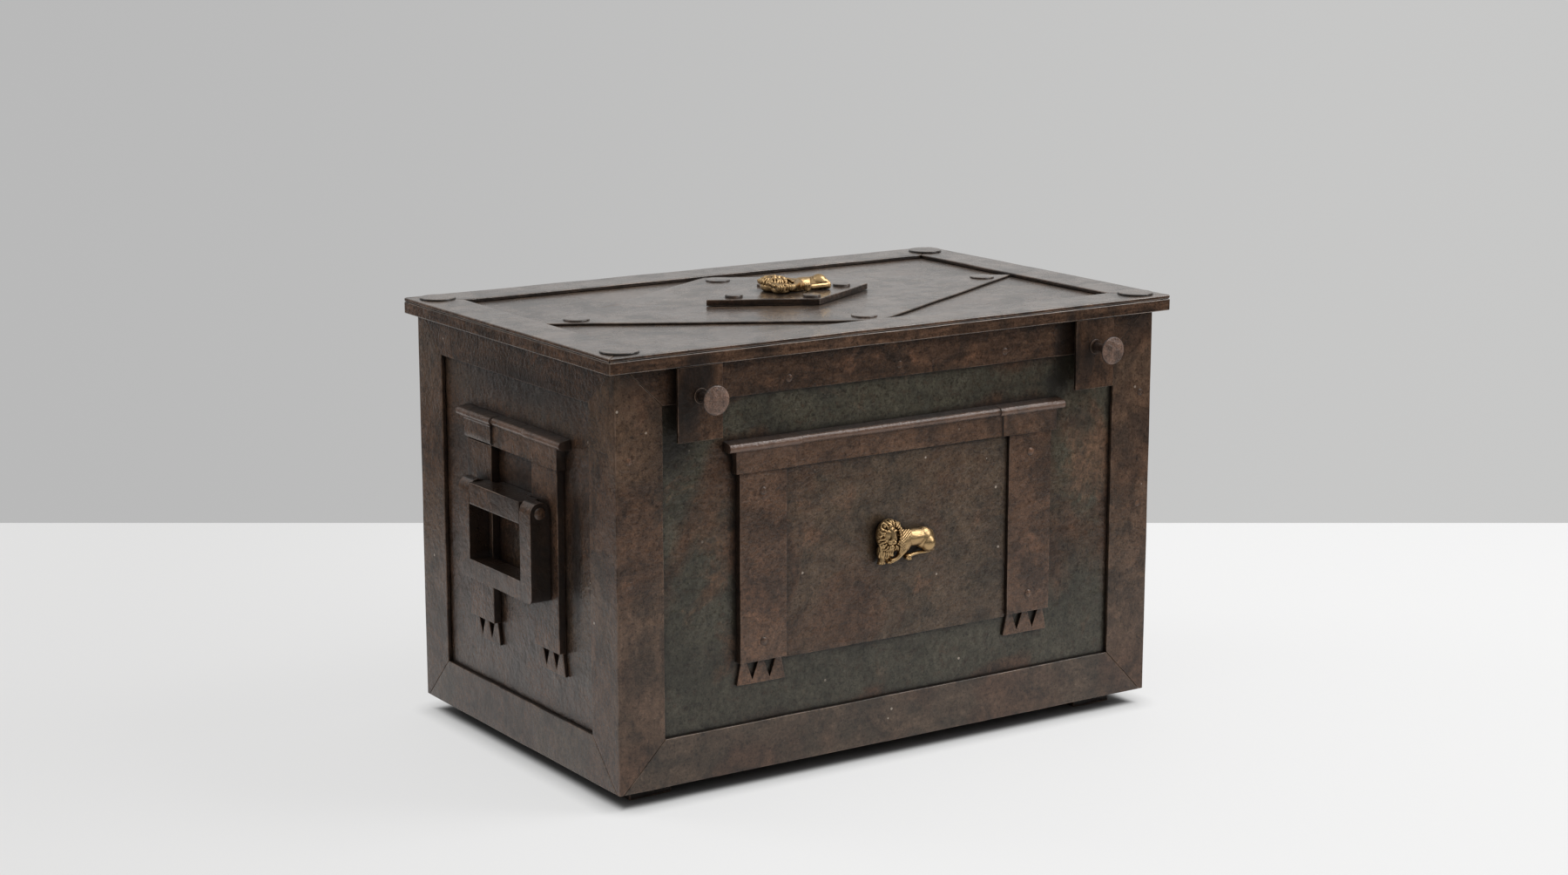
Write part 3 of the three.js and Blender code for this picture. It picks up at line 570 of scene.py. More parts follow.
def bend(shell):
    """Cuts a shell into squares and lets it stray a little, as hand-forged plates do."""
    sizes = bpy.context.scene.chest_sizes
    step = sizes.forged_step
    low, high = box_of([vert.co for vert in shell.verts])
    for axis in range(3):
        normal = Vector((0, 0, 0))
        normal[axis] = 1
        for index in range(math.ceil(low[axis] / step), math.floor(high[axis] / step) + 1):
            bmesh.ops.bisect_plane(
                shell, geom=[*shell.verts, *shell.edges, *shell.faces], dist=0.01 * MILLIMETRE,
                plane_co=normal * index * step, plane_no=normal,
            )
    noise.seed_set(sizes.forged_seed)
    for vert in shell.verts:
        vert.co += noise.noise_vector(vert.co / sizes.forged_reach) * sizes.forged_wave
        vert.co.z = max(vert.co.z, cad_low.z)


# Large patches of tone on a face: how far the middle of each is across from the face's middle and up from the
# underside of the body, and its two radii, all in millimetres, and its strength
PATCHES = {
    ("front", "green"): (
        (-232, 70, 42, 85, 1.3), (-245, 292, 30, 38, 0.9), (0, 326, 240, 18, 1.2), (0, 78, 230, 22, 1.2),
        (232, 110, 30, 75, 1.0),
    ),
    ("front", "rust"): (
        (-206, 225, 34, 48, 1.1), (-190, 130, 20, 60, 0.5), (226, 235, 30, 50, 1.3), (-180, 92, 24, 18, 0.6),
        (27, 148, 12, 16, 1.2), (-6, 130, 12, 9, 0.9), (-60, 235, 30, 22, 0.6), (-95, 190, 12, 45, 0.5),
        (150, 200, 22, 60, 0.7), (-150, 175, 22, 70, 0.5), (30, 360, 110, 16, 0.6), (-285, 330, 16, 40, 0.8),
        (-285, 60, 16, 40, 0.45),
    ),
    # Mostly painted shadows beside the hasps, the knobs and the pilasters, and under the lid and the cornice,
    # with some grime
    ("front", "grime"): (
        (-240, 300, 30, 36, 0.7), (-236, 344, 12, 22, 0.9), (214, 344, 12, 22, 0.9),
        (-285, 372, 36, 30, 0.55), (285, 372, 34, 22, 0.7), (-222, 372, 16, 30, 1.0),
        (190, 362, 12, 40, 1.1), (180, 290, 16, 30, 0.8), (268, 300, 10, 40, 0.6), (130, 322, 90, 8, 0.5),
    ),
    ("end", "rust"): ((-92, 190, 14, 90, 0.8), (60, 320, 50, 30, 0.5)),
    # Painted shadows beside the pilasters and the handles, and under the lid
    ("end", "grime"): (
        (-94, 200, 12, 80, 1.2), (94, 200, 12, 80, 1.2), (0, 342, 150, 30, 0.8), (0, 245, 22, 40, 0.7)
    ),
}
END_SHARE = 0.87  # a place is on an end beyond this share of the way out to the handles
MOST_TONE = 1.2


def patch_strength(patches, across, up):
    """The strength of some patches of tone at a place of their face."""
    total = 0.0
    for middle, height, wide, tall, strength in patches:
        spread = ((across - middle) / wide) ** 2 + ((up - height) / tall) ** 2
        total += strength * math.exp(-spread)
    return min(total, MOST_TONE)


def paint(mesh):
    """Lays the large patches of each tone over the front and the ends of a piece."""
    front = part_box("corner_post_front_left")[0].y
    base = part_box("floor_plate")[0].z
    reach = bpy.context.scene.chest_sizes.paint_reach
    for tone in ("green", "rust", "grime"):
        values = []
        for vert in mesh.vertices:
            x, y, z = vert.co
            if abs(y - front) < reach:
                face, across = "front", x
            else:
                face, across = "end" if abs(x) > -END_SHARE * cad_low.x else "none", y
            patches = PATCHES.get((face, tone), ())
            values.append(patch_strength(patches, across / MILLIMETRE, (z - base) / MILLIMETRE))
        mesh.attributes.new(tone, "FLOAT", "POINT").data.foreach_set("value", values)


def mark_sides(mesh, flat):
    """Marks the faces of a plate that look sideways, which the iron darkens as painted shade. Flat lists the
    axes that its broad faces look along.
    """
    values = [float(max(abs(face.normal[axis]) for axis in flat) < SIDEWAYS) for face in mesh.polygons]
    mesh.attributes.new("side", "FLOAT", "FACE").data.foreach_set("value", values)


def thinnest(mesh):
    """The axis along which a piece is thinnest."""
    low, high = box_of([vert.co for vert in mesh.vertices])
    return min(range(3), key=lambda axis: high[axis] - low[axis])


def stand_for(piece, node):
    """Puts a finished piece in the place of a frame node."""
    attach(piece, frame["nodes"][node]["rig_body"])
    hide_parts(node)


def piece_from(shell, materials, node, flat=None):
    """Makes a shell the finished piece that stands for a node. Flat lists the axes of its broad faces."""
    name = f"finished_{node}"
    mesh = bpy.data.meshes.new(name)
    shell.to_mesh(mesh)
    shell.free()
    tones = [Random(name).random()] * len(mesh.vertices)
    mesh.attributes.new("tone", "FLOAT", "POINT").data.foreach_set("value", tones)
    paint(mesh)
    mesh.attributes.new("bare", "FLOAT", "POINT")
    mark_sides(mesh, [thinnest(mesh)] if flat is None else flat)
    for material in materials:
        mesh.materials.append(material)
    mesh.shade_smooth()
    mesh.set_sharp_from_angle(angle=SHARP)
    piece = add_object(name, mesh)
    piece.modifiers.new("Weighted normals", "WEIGHTED_NORMAL").keep_sharp = True
    stand_for(piece, node)
    return piece


def dress(node, finish, width, flat=None, rim=None):
    """Gives a frame node rounded edges of rubbed metal and painted highlight, a little unevenness and its
    finish, and perhaps another at its rim.
    """
    shell = merged(node)
    soften(shell, width)
    bend(shell)
    materials = finish_pair(finish)
    if rim:
        shell.normal_update()
        for face in shell.faces:
            if abs(face.normal.z) < SIDEWAYS and face.material_index == 0:
                face.material_index = 2
        materials.append(finish_pair(rim)[0])
        flat = (0, 1, 2)
    return piece_from(shell, materials, node, flat=flat)


def circle(parts):
    """Evenly spaced angles round a circle."""
    return [2 * math.pi * index / parts for index in range(parts)]


def turned(profile, centre, direction):
    """A shell turned from (radius, height) points, its foot at a place and its axis along a direction."""
    sides = bpy.context.scene.chest_sizes.head_sides
    shell = bmesh.new()
    rings = []
    for radius, height in profile:
        if radius == 0:
            spots = [(0, 0, height)]
        else:
            spots = [(radius * math.cos(a), radius * math.sin(a), height) for a in circle(sides)]
        rings.append([shell.verts.new(spot) for spot in spots])
    for lower, upper in zip(rings, rings[1:]):
        for index in range(sides):
            following = (index + 1) % sides
            corners = [lower[index % len(lower)], lower[following % len(lower)]]
            corners += [upper[following % len(upper)], upper[index % len(upper)]]
            corners = list(dict.fromkeys(corners))
            if len(corners) > 2:
                shell.faces.new(corners)
    turn = Vector(direction).to_track_quat("Z", "Y").to_matrix().to_4x4()
    bmesh.ops.transform(shell, matrix=Matrix.Translation(centre) @ turn, verts=shell.verts)
    return shell


def make_pin(node, axis, head):
    """Turns a pin. Its head has shares of the pin's radius, at depths in millimetres from the pin's ends."""
    low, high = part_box(node)
    half = (high[axis] - low[axis]) / 2
    radius = (high.z - low.z) / 2
    points = [(radius * share, half - depth * MILLIMETRE) for share, depth in head]
    profile = [(r, -h) for r, h in points] + points[::-1]
    direction = [float(index == axis) for index in range(3)]
    piece_from(turned(profile, middle_of(node), direction), finish_pair("fitting"), node, flat=(0, 1, 2))


# Operators for the pieces


class MakePiece:
    """What every operator here has in common."""

    bl_options = {"REGISTER", "UNDO"}


class CHEST_OT_sheets(MakePiece, bpy.types.Operator):
    """Finishes the floor, the four walls and the plate between the front pilasters"""

    bl_idname = "chest.sheets"
    bl_label = "Sheets"

    def execute(self, context):
        edge = context.scene.chest_sizes.sheet_edge
        for node in ("floor_plate", "front_panel", "back_panel"):
            dress(node, "panel", edge)
        for node in ("left_panel", "right_panel"):
            dress(node, "end panel", edge)
        dress("front_field_plate", "field", edge)
        return {"FINISHED"}


class CHEST_OT_strips(MakePiece, bpy.types.Operator):
    """Finishes the corner posts and the rails"""

    bl_idname = "chest.strips"
    bl_label = "Strips"

    def execute(self, context):
        edge = context.scene.chest_sizes.strip_edge
        for node in frame["nodes"]:
            if node.startswith("corner_post"):
                dress(node, "upright strip", edge, flat=(0, 1))
            elif node.startswith("top_rail"):
                dress(node, "top strip", edge)
            elif node.startswith("bottom_rail"):
                dress(node, "bottom strip", edge)
        return {"FINISHED"}


class CHEST_OT_feet(MakePiece, bpy.types.Operator):
    """Finishes the four feet"""

    bl_idname = "chest.feet"
    bl_label = "Feet"

    def execute(self, context):
        for node in frame["nodes"]:
            if node.startswith("foot_"):
                dress(node, "fitting", context.scene.chest_sizes.fitting_edge)
        return {"FINISHED"}


class CHEST_OT_orders(MakePiece, bpy.types.Operator):
    """Finishes the pilasters and the cornices"""

    bl_idname = "chest.orders"
    bl_label = "Pilasters and cornices"
    most_bare_and_highlit = 0.9

    def execute(self, context):
        sizes = context.scene.chest_sizes
        for node in frame["nodes"]:
            if "pilaster" in node:
                dress(node, "moulding", sizes.moulding_edge)
            elif "cornice" in node:
                self.mark_roll_bare_and_highlit(dress(node, "moulding", sizes.moulding_edge).data, sizes.roll_depth)
        return {"FINISHED"}

    def mark_roll_bare_and_highlit(self, mesh, depth):
        """Marks the roll that stands out at the top of a cornice as rubbed bare metal with a painted
        highlight.
        """
        axis = thinnest(mesh)
        low, high = box_of([vert.co for vert in mesh.vertices])
        front = max(abs(vert.co[axis]) for vert in mesh.vertices)
        for vert, mark in zip(mesh.vertices, mesh.attributes["bare"].data):
            if vert.co.z > (low.z + high.z) / 2:
                mark.value = min(max((abs(vert.co[axis]) - front) / depth + 1, 0), 1) * self.most_bare_and_highlit


class CHEST_OT_handles(MakePiece, bpy.types.Operator):
    """Finishes the drop handles and turns their pins"""

    bl_idname = "chest.handles"
    bl_label = "Drop handles"
    pin_head = ((0, 0), (0.45, 0.1), (0.8, 0.45), (0.97, 1.0), (1, 1.5), (0.776, 1.5))

    def execute(self, context):
        edge = context.scene.chest_sizes.fitting_edge
        for side in ("left", "right"):
            dress(f"{side}_handle_block", "fitting", edge, flat=(0,))
            dress(f"{side}_handle_bail", "fitting", edge)
            make_pin(f"{side}_handle_pin", 1, self.pin_head)
        return {"FINISHED"}


class CHEST_OT_lid(MakePiece, bpy.types.Operator):
    """Finishes the lid's plate, border, lozenges and round heads"""

    bl_idname = "chest.lid"
    bl_label = "Lid"
    rim_rounding = 0.6
    rim_steps = 4

    def execute(self, context):
        sizes = context.scene.chest_sizes
        dress("lid_plate", "lid", sizes.lid_edge, rim="lid rim")
        for node in frame["nodes"]:
            if node.startswith("lid_border"):
                dress(node, "lid", sizes.lid_edge, rim="lid rim")
            elif node.startswith("lid_disc"):
                self.make_head(node)
            elif node.startswith("lid_lozenge"):
                dress(node, "lid", sizes.strip_edge, rim="lid rim")
        return {"FINISHED"}

    def make_head(self, node):
        """A low round head with a rounded rim, over a corner of the border."""
        low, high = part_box(node)
        radius = (high.x - low.x) / 2
        height = high.z - low.z
        rounding = self.rim_rounding * height
        profile = [(0, 0), (radius, 0)]
        for step in range(self.rim_steps + 1):
            angle = math.pi / 2 * step / self.rim_steps
            rim = radius - rounding + rounding * math.cos(angle)
            profile.append((rim, height - rounding + rounding * math.sin(angle)))
        profile.append((0, height))
        centre = middle_of(node)
        centre.z = low.z
        piece_from(turned(profile, centre, (0, 0, 1)), finish_pair("head"), node)


class CHEST_OT_hasps(MakePiece, bpy.types.Operator):
    """Finishes the hasp plates and turns the knob bolts"""

    bl_idname = "chest.hasps"
    bl_label = "Hasps"
    # Points of a knob's head: shares of its radius, outwards and in depth from its back or from its front
    back_of_head = ((0.86, 0.02), (0.95, 0.06), (1, 0.12))
    front_of_head = ((1, 0.18), (0.975, 0.12), (0.92, 0.085), (0.7, 0.05), (0.4, 0.016), (0, 0))

    def execute(self, context):
        sizes = context.scene.chest_sizes
        for side in ("left", "right"):
            dress(f"hasp_plate_{side}", "hasp", sizes.sheet_edge)
            self.make_knob(f"knob_bolt_{side}", sizes)
        return {"FINISHED"}

    def make_knob(self, node, sizes):
        """A slightly domed knob on a neck and a long shank, with a collar at the tip."""
        low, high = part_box(node)
        radius = (high.x - low.x) / 2
        reach = high.y - low.y
        back = reach - sizes.knob_thickness
        tip, shank, neck = sizes.knob_tip, sizes.knob_shank, sizes.knob_neck
        profile = [
            (0, 0), (tip * 0.88, 0), (tip, tip * 0.12), (tip, sizes.knob_tip_length),
            (shank, sizes.knob_tip_length), (shank, back - neck),
            (shank * 1.1, back - neck * 0.7), (shank * 1.36, back - neck * 0.35), (radius * 0.56, back),
        ]
        profile += [(radius * share, back + radius * depth) for share, depth in self.back_of_head]
        profile += [(radius * share, reach - radius * depth) for share, depth in self.front_of_head]
        centre = middle_of(node)
        centre.y = high.y
        piece_from(turned(profile, centre, (0, -1, 0)), finish_pair("knob"), node, flat=(1,))


class CHEST_OT_hinges(MakePiece, bpy.types.Operator):
    """Finishes the two hinges and turns their pins"""

    bl_idname = "chest.hinges"
    bl_label = "Hinges"
    pin_head = ((0, 0), (0.6, 0.2), (0.92, 0.64), (1, 1.2), (1, 1.5), (0.625, 1.5))

    def execute(self, context):
        edge = context.scene.chest_sizes.sheet_edge
        for side in ("left", "right"):
            dress(f"hinge_body_leaf_{side}", "fitting", edge)
            dress(f"hinge_lid_leaf_{side}", "fitting", edge)
            make_pin(f"hinge_pin_{side}", 0, self.pin_head)
        return {"FINISHED"}


# The lion, in millimetres: across from its middle, up from its feet, and out from its flat back. Each ball
# has a middle, three radii and a turn in degrees. Each limb is a line of places with a radius at each.
LION_BALLS = (
    ((-3, 18.8, 3.2), (11, 11, 5.6), 0),
    ((11, 20.6, 2.4), (23, 8, 6.2), 0),
    ((22.5, 18.8, 2.6), (10.8, 10.3, 6.2), -10),
    ((25.4, 14.6, 4.6), (8, 8.4, 6), 14),
    ((29.8, 13.5, 3.2), (4.4, 7.6, 5), 0),
    ((-19.3, 27.2, 3.2), (13.6, 14.4, 5), 0),
    ((-22, 12, 2.4), (9, 9.4, 3.6), 0),
    ((-20.6, 28.2, 5.6), (8.4, 9.8, 4.6), 0),
    ((-20.8, 33, 7), (5.6, 3.8, 2.8), 0),
    ((-25.4, 24.4, 7), (3.3, 4.1, 2.6), 0),
    ((-16, 24, 6.9), (3.2, 4.1, 2.6), 0),
    ((-22.6, 21.6, 8.8), (3, 2.5, 2.4), 0),
    ((-18.2, 21.4, 8.8), (3, 2.5, 2.4), 0),
    ((-20.4, 24, 10.3), (2.4, 1.5, 1.3), 0),
    ((-20.4, 18, 8), (3, 1.9, 2.1), 0),
    ((-24.9, 29, 8.1), (1.6, 1.2, 1.1), 8),
    ((-16.4, 28.6, 8.1), (1.6, 1.2, 1.1), -8),
    ((4.4, 4, 2.8), (5, 2.7, 2.8), 10),
    ((32, 8.6, 2.8), (2.8, 3.6, 3), 0),
)
LION_LIMBS = (
    ((-2, 12, 4.4, 3.6), (-6.5, 8, 4.8, 2.8), (-10.5, 4.4, 4.6, 2.2), (-16.8, 2.6, 4.2, 2.4)),
    ((-27, 12, 4.8, 2.8), (-28.2, 7, 4.6, 2.6), (-28.4, 3, 4.4, 2.9)),
    ((26, 9.4, 5, 3.2), (30.5, 8.6, 4.4, 2.6), (32.4, 8.2, 3, 2.2)),
    ((32.4, 7.4, 3, 2.2), (27, 6, 3.2, 1.7), (16, 5.8, 3.2, 1.6), (9, 5.2, 3.2, 1.8), (5, 4, 3, 2.2)),
    ((28, 26.5, 2.8, 0.9), (32.2, 23.6, 3, 1), (33.6, 18, 3.2, 1), (33.5, 12, 3.6, 1), (32.2, 8.6, 4.8, 0.9)),
    ((-28.4, 30.8, 7.6, 0.8), (-25.4, 32.2, 8.9, 1.2), (-22.2, 31, 9.3, 1)),
    ((-18.8, 30.8, 9.3, 1), (-15.8, 31.8, 8.8, 1.2), (-13, 30.2, 7.4, 0.8)),
    ((-20.8, 33.2, 8.6, 2), (-20.6, 28.8, 9.6, 1.5), (-20.4, 24.8, 10, 1.9)),
)
LION_TOES = (
    (-31, 2.4), (-28.4, 1.8), (-25.8, 2), (-21, 2), (-18.4, 1.6), (-15.8, 2), (0.6, 3.2), (2.4, 2.2), (4.8, 2)
)
TOE_OUT, TOE_RADII = 4.6, (1.35, 1.5, 2.1)
LION_FACE = (-20, 26.5)
LION_EARS = ((-28.6, 37, 5.4), (-11.6, 35.6, 5.2))
# The rings of locks round the face: their two radii, the locks' length, how far out their roots and tips are,
# the locks' radius and their number
MANE_RINGS = ((8.8, 9.9, 3.4, 9.4, 7.8, 1.05, 23), (11.6, 12.4, 2.8, 8.3, 5.4, 1.35, 27))


def ball(shell, middle, radii, turn=0.0):
    """An egg, turned about the line of sight."""
    matrix = Matrix.Translation(middle) @ Matrix.Rotation(math.radians(turn), 4, "Z")
    bmesh.ops.create_icosphere(shell, subdivisions=3, radius=1, matrix=matrix @ Matrix.Diagonal((*radii, 1)))


def smooth_line(places, radii, parts):
    """A smooth line through some places: the spots along it, and the radius at each."""
    points = [Vector(place) for place in places]
    padded = [2 * points[0] - points[1], *points, 2 * points[-1] - points[-2]]
    line = []
    for index in range(len(points) - 1):
        a, b, c, d = padded[index:index + 4]
        for step in range(parts + (index == len(points) - 2)):
            t = step / parts
            spot = 2 * b + (c - a) * t + (2 * a - 5 * b + 4 * c - d) * t**2 + (3 * b - a - 3 * c + d) * t**3
            line.append((0.5 * spot, radii[index] * (1 - t) + radii[index + 1] * t))
    return zip(*line)


def limb(shell, places, radii, sides=10, parts=5):
    """A round limb that follows a smooth line through its places."""
    spots, radii = smooth_line(places, radii, parts)
    rings = []
    for index, (spot, radius) in enumerate(zip(spots, radii)):
        ahead = (spots[min(index + 1, len(spots) - 1)] - spots[max(index - 1, 0)]).normalized()
        if rings:
            across = (across - ahead * across.dot(ahead)).normalized()
        else:
            across = ahead.orthogonal().normalized()
        aside = ahead.cross(across)
        ways = [across * math.cos(a) + aside * math.sin(a) for a in circle(sides)]
        rings.append([shell.verts.new(spot + way * radius) for way in ways])
    for lower, upper in zip(rings, rings[1:]):
        for side in range(sides):
            following = (side + 1) % sides
            shell.faces.new((lower[side], lower[following], upper[following], upper[side]))
    for end, inner in ((0, 1), (-1, -2)):
        outward = (spots[end] - spots[inner]).normalized()
        tip = shell.verts.new(spots[end] + outward * radii[end] * 0.8)
        for side in range(sides):
            corners = (rings[end][side], rings[end][(side + 1) % sides], tip)
            shell.faces.new(corners if end else corners[::-1])


def lock(shell, root, tip, radius, bow):
    """A lock of mane that bows sideways and ends in a point."""
    root, tip = Vector(root), Vector(tip)
    along = tip - root
    side = Vector((-along.y, along.x, 0)) * bow
    places = (root, root + along * 0.35 + side, root + along * 0.7 + side * 0.8, tip)
    limb(shell, places, (radius * 0.8, radius, radius * 0.9, radius * 0.45), sides=8, parts=3)


def add_mane(shell):
    """Two rings of locks round the face, wavy locks down the chest and short ones over the shoulder."""
    chance = Random(7)
    x, y = LION_FACE
    for wide, tall, reach, near, far, radius, count in MANE_RINGS:
        for angle in circle(count):
            lean = angle + chance.uniform(-0.12, 0.12)
            root = (x + wide * math.cos(angle), y + tall * math.sin(angle), near)
            tip = (x + (wide + reach) * math.cos(lean), y + (tall + reach) * math.sin(lean), far)
            lock(shell, root, tip, radius * chance.uniform(0.85, 1.15), chance.uniform(-0.25, 0.25))
    for index in range(8):
        across = -31.4 + 2.2 * index
        top = 20 - 0.5 * index
        sway = chance.uniform(0, 6.3)
        waves = [
            (across + 0.9 * math.sin(sway + 1.7 * step), top - 3 * step, 6.6 - 0.1 * index - 0.2 * step)
            for step in range(4 + (index < 5))
        ]
        limb(shell, waves, [1.25 * chance.uniform(0.85, 1.1)] * len(waves), sides=8, parts=3)
    for row in range(8):
        for column in range(9):
            across = -9 + row * 1.75
            up = 29.4 - column * 2.3 - 1.15 * (row % 2) - 0.2 * row
            if up > 8 + row * 0.9:
                out = 8.9 - 0.25 * row - 0.02 * (up - 19) ** 2
                lock(shell, (across + 1.3, up + 1.3, out - 0.3), (across - 1.2, up - 1.5, out), 0.95, -0.1)


def add_ear(shell, middle):
    """A shallow cup with a thick rim."""
    x, y, z = middle
    loop = [(x + 2.3 * math.cos(a), y + 2.4 * math.sin(a), z + 1.4) for a in (*circle(8), 2 * math.pi)]
    limb(shell, loop, [0.95] * len(loop))
    ball(shell, middle, (2.6, 2.7, 1.2))


def lion_mesh():
    """The lion as one smooth casting with a flat back."""
    shell = bmesh.new()
    for middle, radii, turn in LION_BALLS:
        ball(shell, middle, radii, turn)
    for line in LION_LIMBS:
        limb(shell, [point[:3] for point in line], [point[3] for point in line])
    for across, up in LION_TOES:
        ball(shell, (across, up, TOE_OUT), TOE_RADII)
    for middle in LION_EARS:
        add_ear(shell, middle)
    add_mane(shell)
    bmesh.ops.transform(shell, matrix=Matrix.Scale(MILLIMETRE, 4), verts=shell.verts)
    rough = bpy.data.meshes.new("rough lion")
    shell.to_mesh(rough)
    shell.free()
    holder = add_object("rough lion", rough)
    remesh = holder.modifiers.new("Cast", "REMESH")
    remesh.mode = "VOXEL"
    remesh.voxel_size = bpy.context.scene.chest_sizes.lion_voxel
    soft = holder.modifiers.new("Soften", "SMOOTH")
    soft.factor = 0.5
    soft.iterations = 2
    cast = mesh_of(holder)
    shell = bmesh.new()
    shell.from_mesh(cast)
    bmesh.ops.bisect_plane(
        shell, geom=[*shell.verts, *shell.edges, *shell.faces], dist=1e-6,
        plane_co=(0, 0, 0), plane_no=(0, 0, 1), clear_inner=True,
    )
    bmesh.ops.holes_fill(shell, edges=[edge for edge in shell.edges if edge.is_boundary])
    bmesh.ops.triangulate(shell, faces=[face for face in shell.faces if len(face.verts) > 4])
    shell.to_mesh(cast)
    shell.free()
    return cast


def spread_evenly(values, links, rounds):
    """Averages a value over a mesh's edges, again and again."""
    first, second = links.T
    count = np.zeros(len(values))
    np.add.at(count, first, 1)
    np.add.at(count, second, 1)
    count = np.maximum(count, 1).reshape(-1, *[1] * (values.ndim - 1))
    for _ in range(rounds):
        total = np.zeros_like(values)
        np.add.at(total, first, values[second])
        np.add.at(total, second, values[first])
        values = 0.5 * values + 0.5 * total / count
    return values


def mark_hollows(mesh):
    """Writes how hollow each place of a casting is, from 0 on its high points to 1."""
    places = np.empty(len(mesh.vertices) * 3)
    normals = np.empty_like(places)
    links = np.empty(len(mesh.edges) * 2, dtype=np.int32)
    mesh.vertices.foreach_get("co", places)
    mesh.vertex_normals.foreach_get("vector", normals)
    mesh.edges.foreach_get("vertices", links)
    places, normals, links = places.reshape(-1, 3), normals.reshape(-1, 3), links.reshape(-1, 2)
    depth = np.einsum("ij,ij->i", spread_evenly(places, links, 14) - places, normals) / MILLIMETRE
    values = np.clip(0.42 + spread_evenly(depth, links, 2) * 3.8, 0, 1)
    mesh.attributes.new("hollow", "FLOAT", "POINT").data.foreach_set("value", values)


class CHEST_OT_lions(MakePiece, bpy.types.Operator):
    """Casts the two brass lions"""

    bl_idname = "chest.lions"
    bl_label = "Lions"

    def execute(self, context):
        metal = brass("old brass")
        cast = lion_mesh()
        mark_hollows(cast)
        self.place_lion("front_lion", cast, metal, Matrix(((1, 0, 0), (0, 0, -1), (0, 1, 0))))
        self.place_lion("lid_lion", cast, metal, Matrix.Identity(3))
        return {"FINISHED"}

    def place_lion(self, node, cast, metal, turn):
        """Turns a copy of the casting to its node and fits it to the node's box."""
        mesh = cast.copy()
        mesh.transform(turn.to_4x4())
        low, high = box_of([vert.co for vert in mesh.vertices])
        box_low, box_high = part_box(node)
        scale = [(box_high[axis] - box_low[axis]) / (high[axis] - low[axis]) for axis in range(3)]
        mesh.transform(Matrix.Translation(box_low) @ Matrix.Diagonal((*scale, 1)) @ Matrix.Translation(-low))
        mesh.materials.append(metal)
        mesh.shade_smooth()
        stand_for(add_object(f"finished_{node}", mesh), node)


def rivet_tree():
    """Geometry Nodes that set a low round head, a little uneven in size, on every point of a mesh."""
    group = bpy.data.node_groups.new("Rivets", "GeometryNodeTree")
    kinds = {"Places": "Geometry", "Radius": "Float", "Height": "Float", "Sides": "Int", "Finish": "Material"}
    for name, kind in kinds.items():
        group.interface.new_socket(name, in_out="INPUT", socket_type=f"NodeSocket{kind}")
    group.interface.new_socket("Rivets", in_out="OUTPUT", socket_type="NodeSocketGeometry")
    tree = Tree(group)
    given = tree.add("NodeGroupInput").outputs
    head = tree.add("GeometryNodeMeshUVSphere", {"Segments": given["Sides"], "Rings": 16, "Radius": 1.0})
    flat = tree.add("ShaderNodeCombineXYZ", {0: given["Radius"], 1: given["Radius"], 2: given["Height"]})
    head = tree.add("GeometryNodeTransform", {"Geometry": head.outputs["Mesh"], "Scale": flat.outputs[0]})
    out = tree.add("GeometryNodeInputNamedAttribute", {"Name": "out"}, data_type="FLOAT_VECTOR")
    turn = tree.add("FunctionNodeAlignRotationToVector", {"Vector": out.outputs[0]}, axis="Z")
    uneven = tree.add("FunctionNodeRandomValue", {2: 0.92, 3: 1.06, "Seed": 3}, data_type="FLOAT")
    given_each = {
        "Points": given["Places"],
        "Instance": head.outputs[0],
        "Rotation": turn.outputs[0],
        "Scale": uneven.outputs[1],
    }
    placed = tree.add("GeometryNodeInstanceOnPoints", given_each)
    real = tree.add("GeometryNodeRealizeInstances", {0: placed.outputs[0]})
    smooth = tree.add("GeometryNodeSetShadeSmooth", {"Geometry": real.outputs[0]})
    finish = {"Geometry": smooth.outputs[0], "Material": given["Finish"]}
    tree.add("NodeGroupOutput", {0: tree.add("GeometryNodeSetMaterial", finish).outputs[0]})
    return group


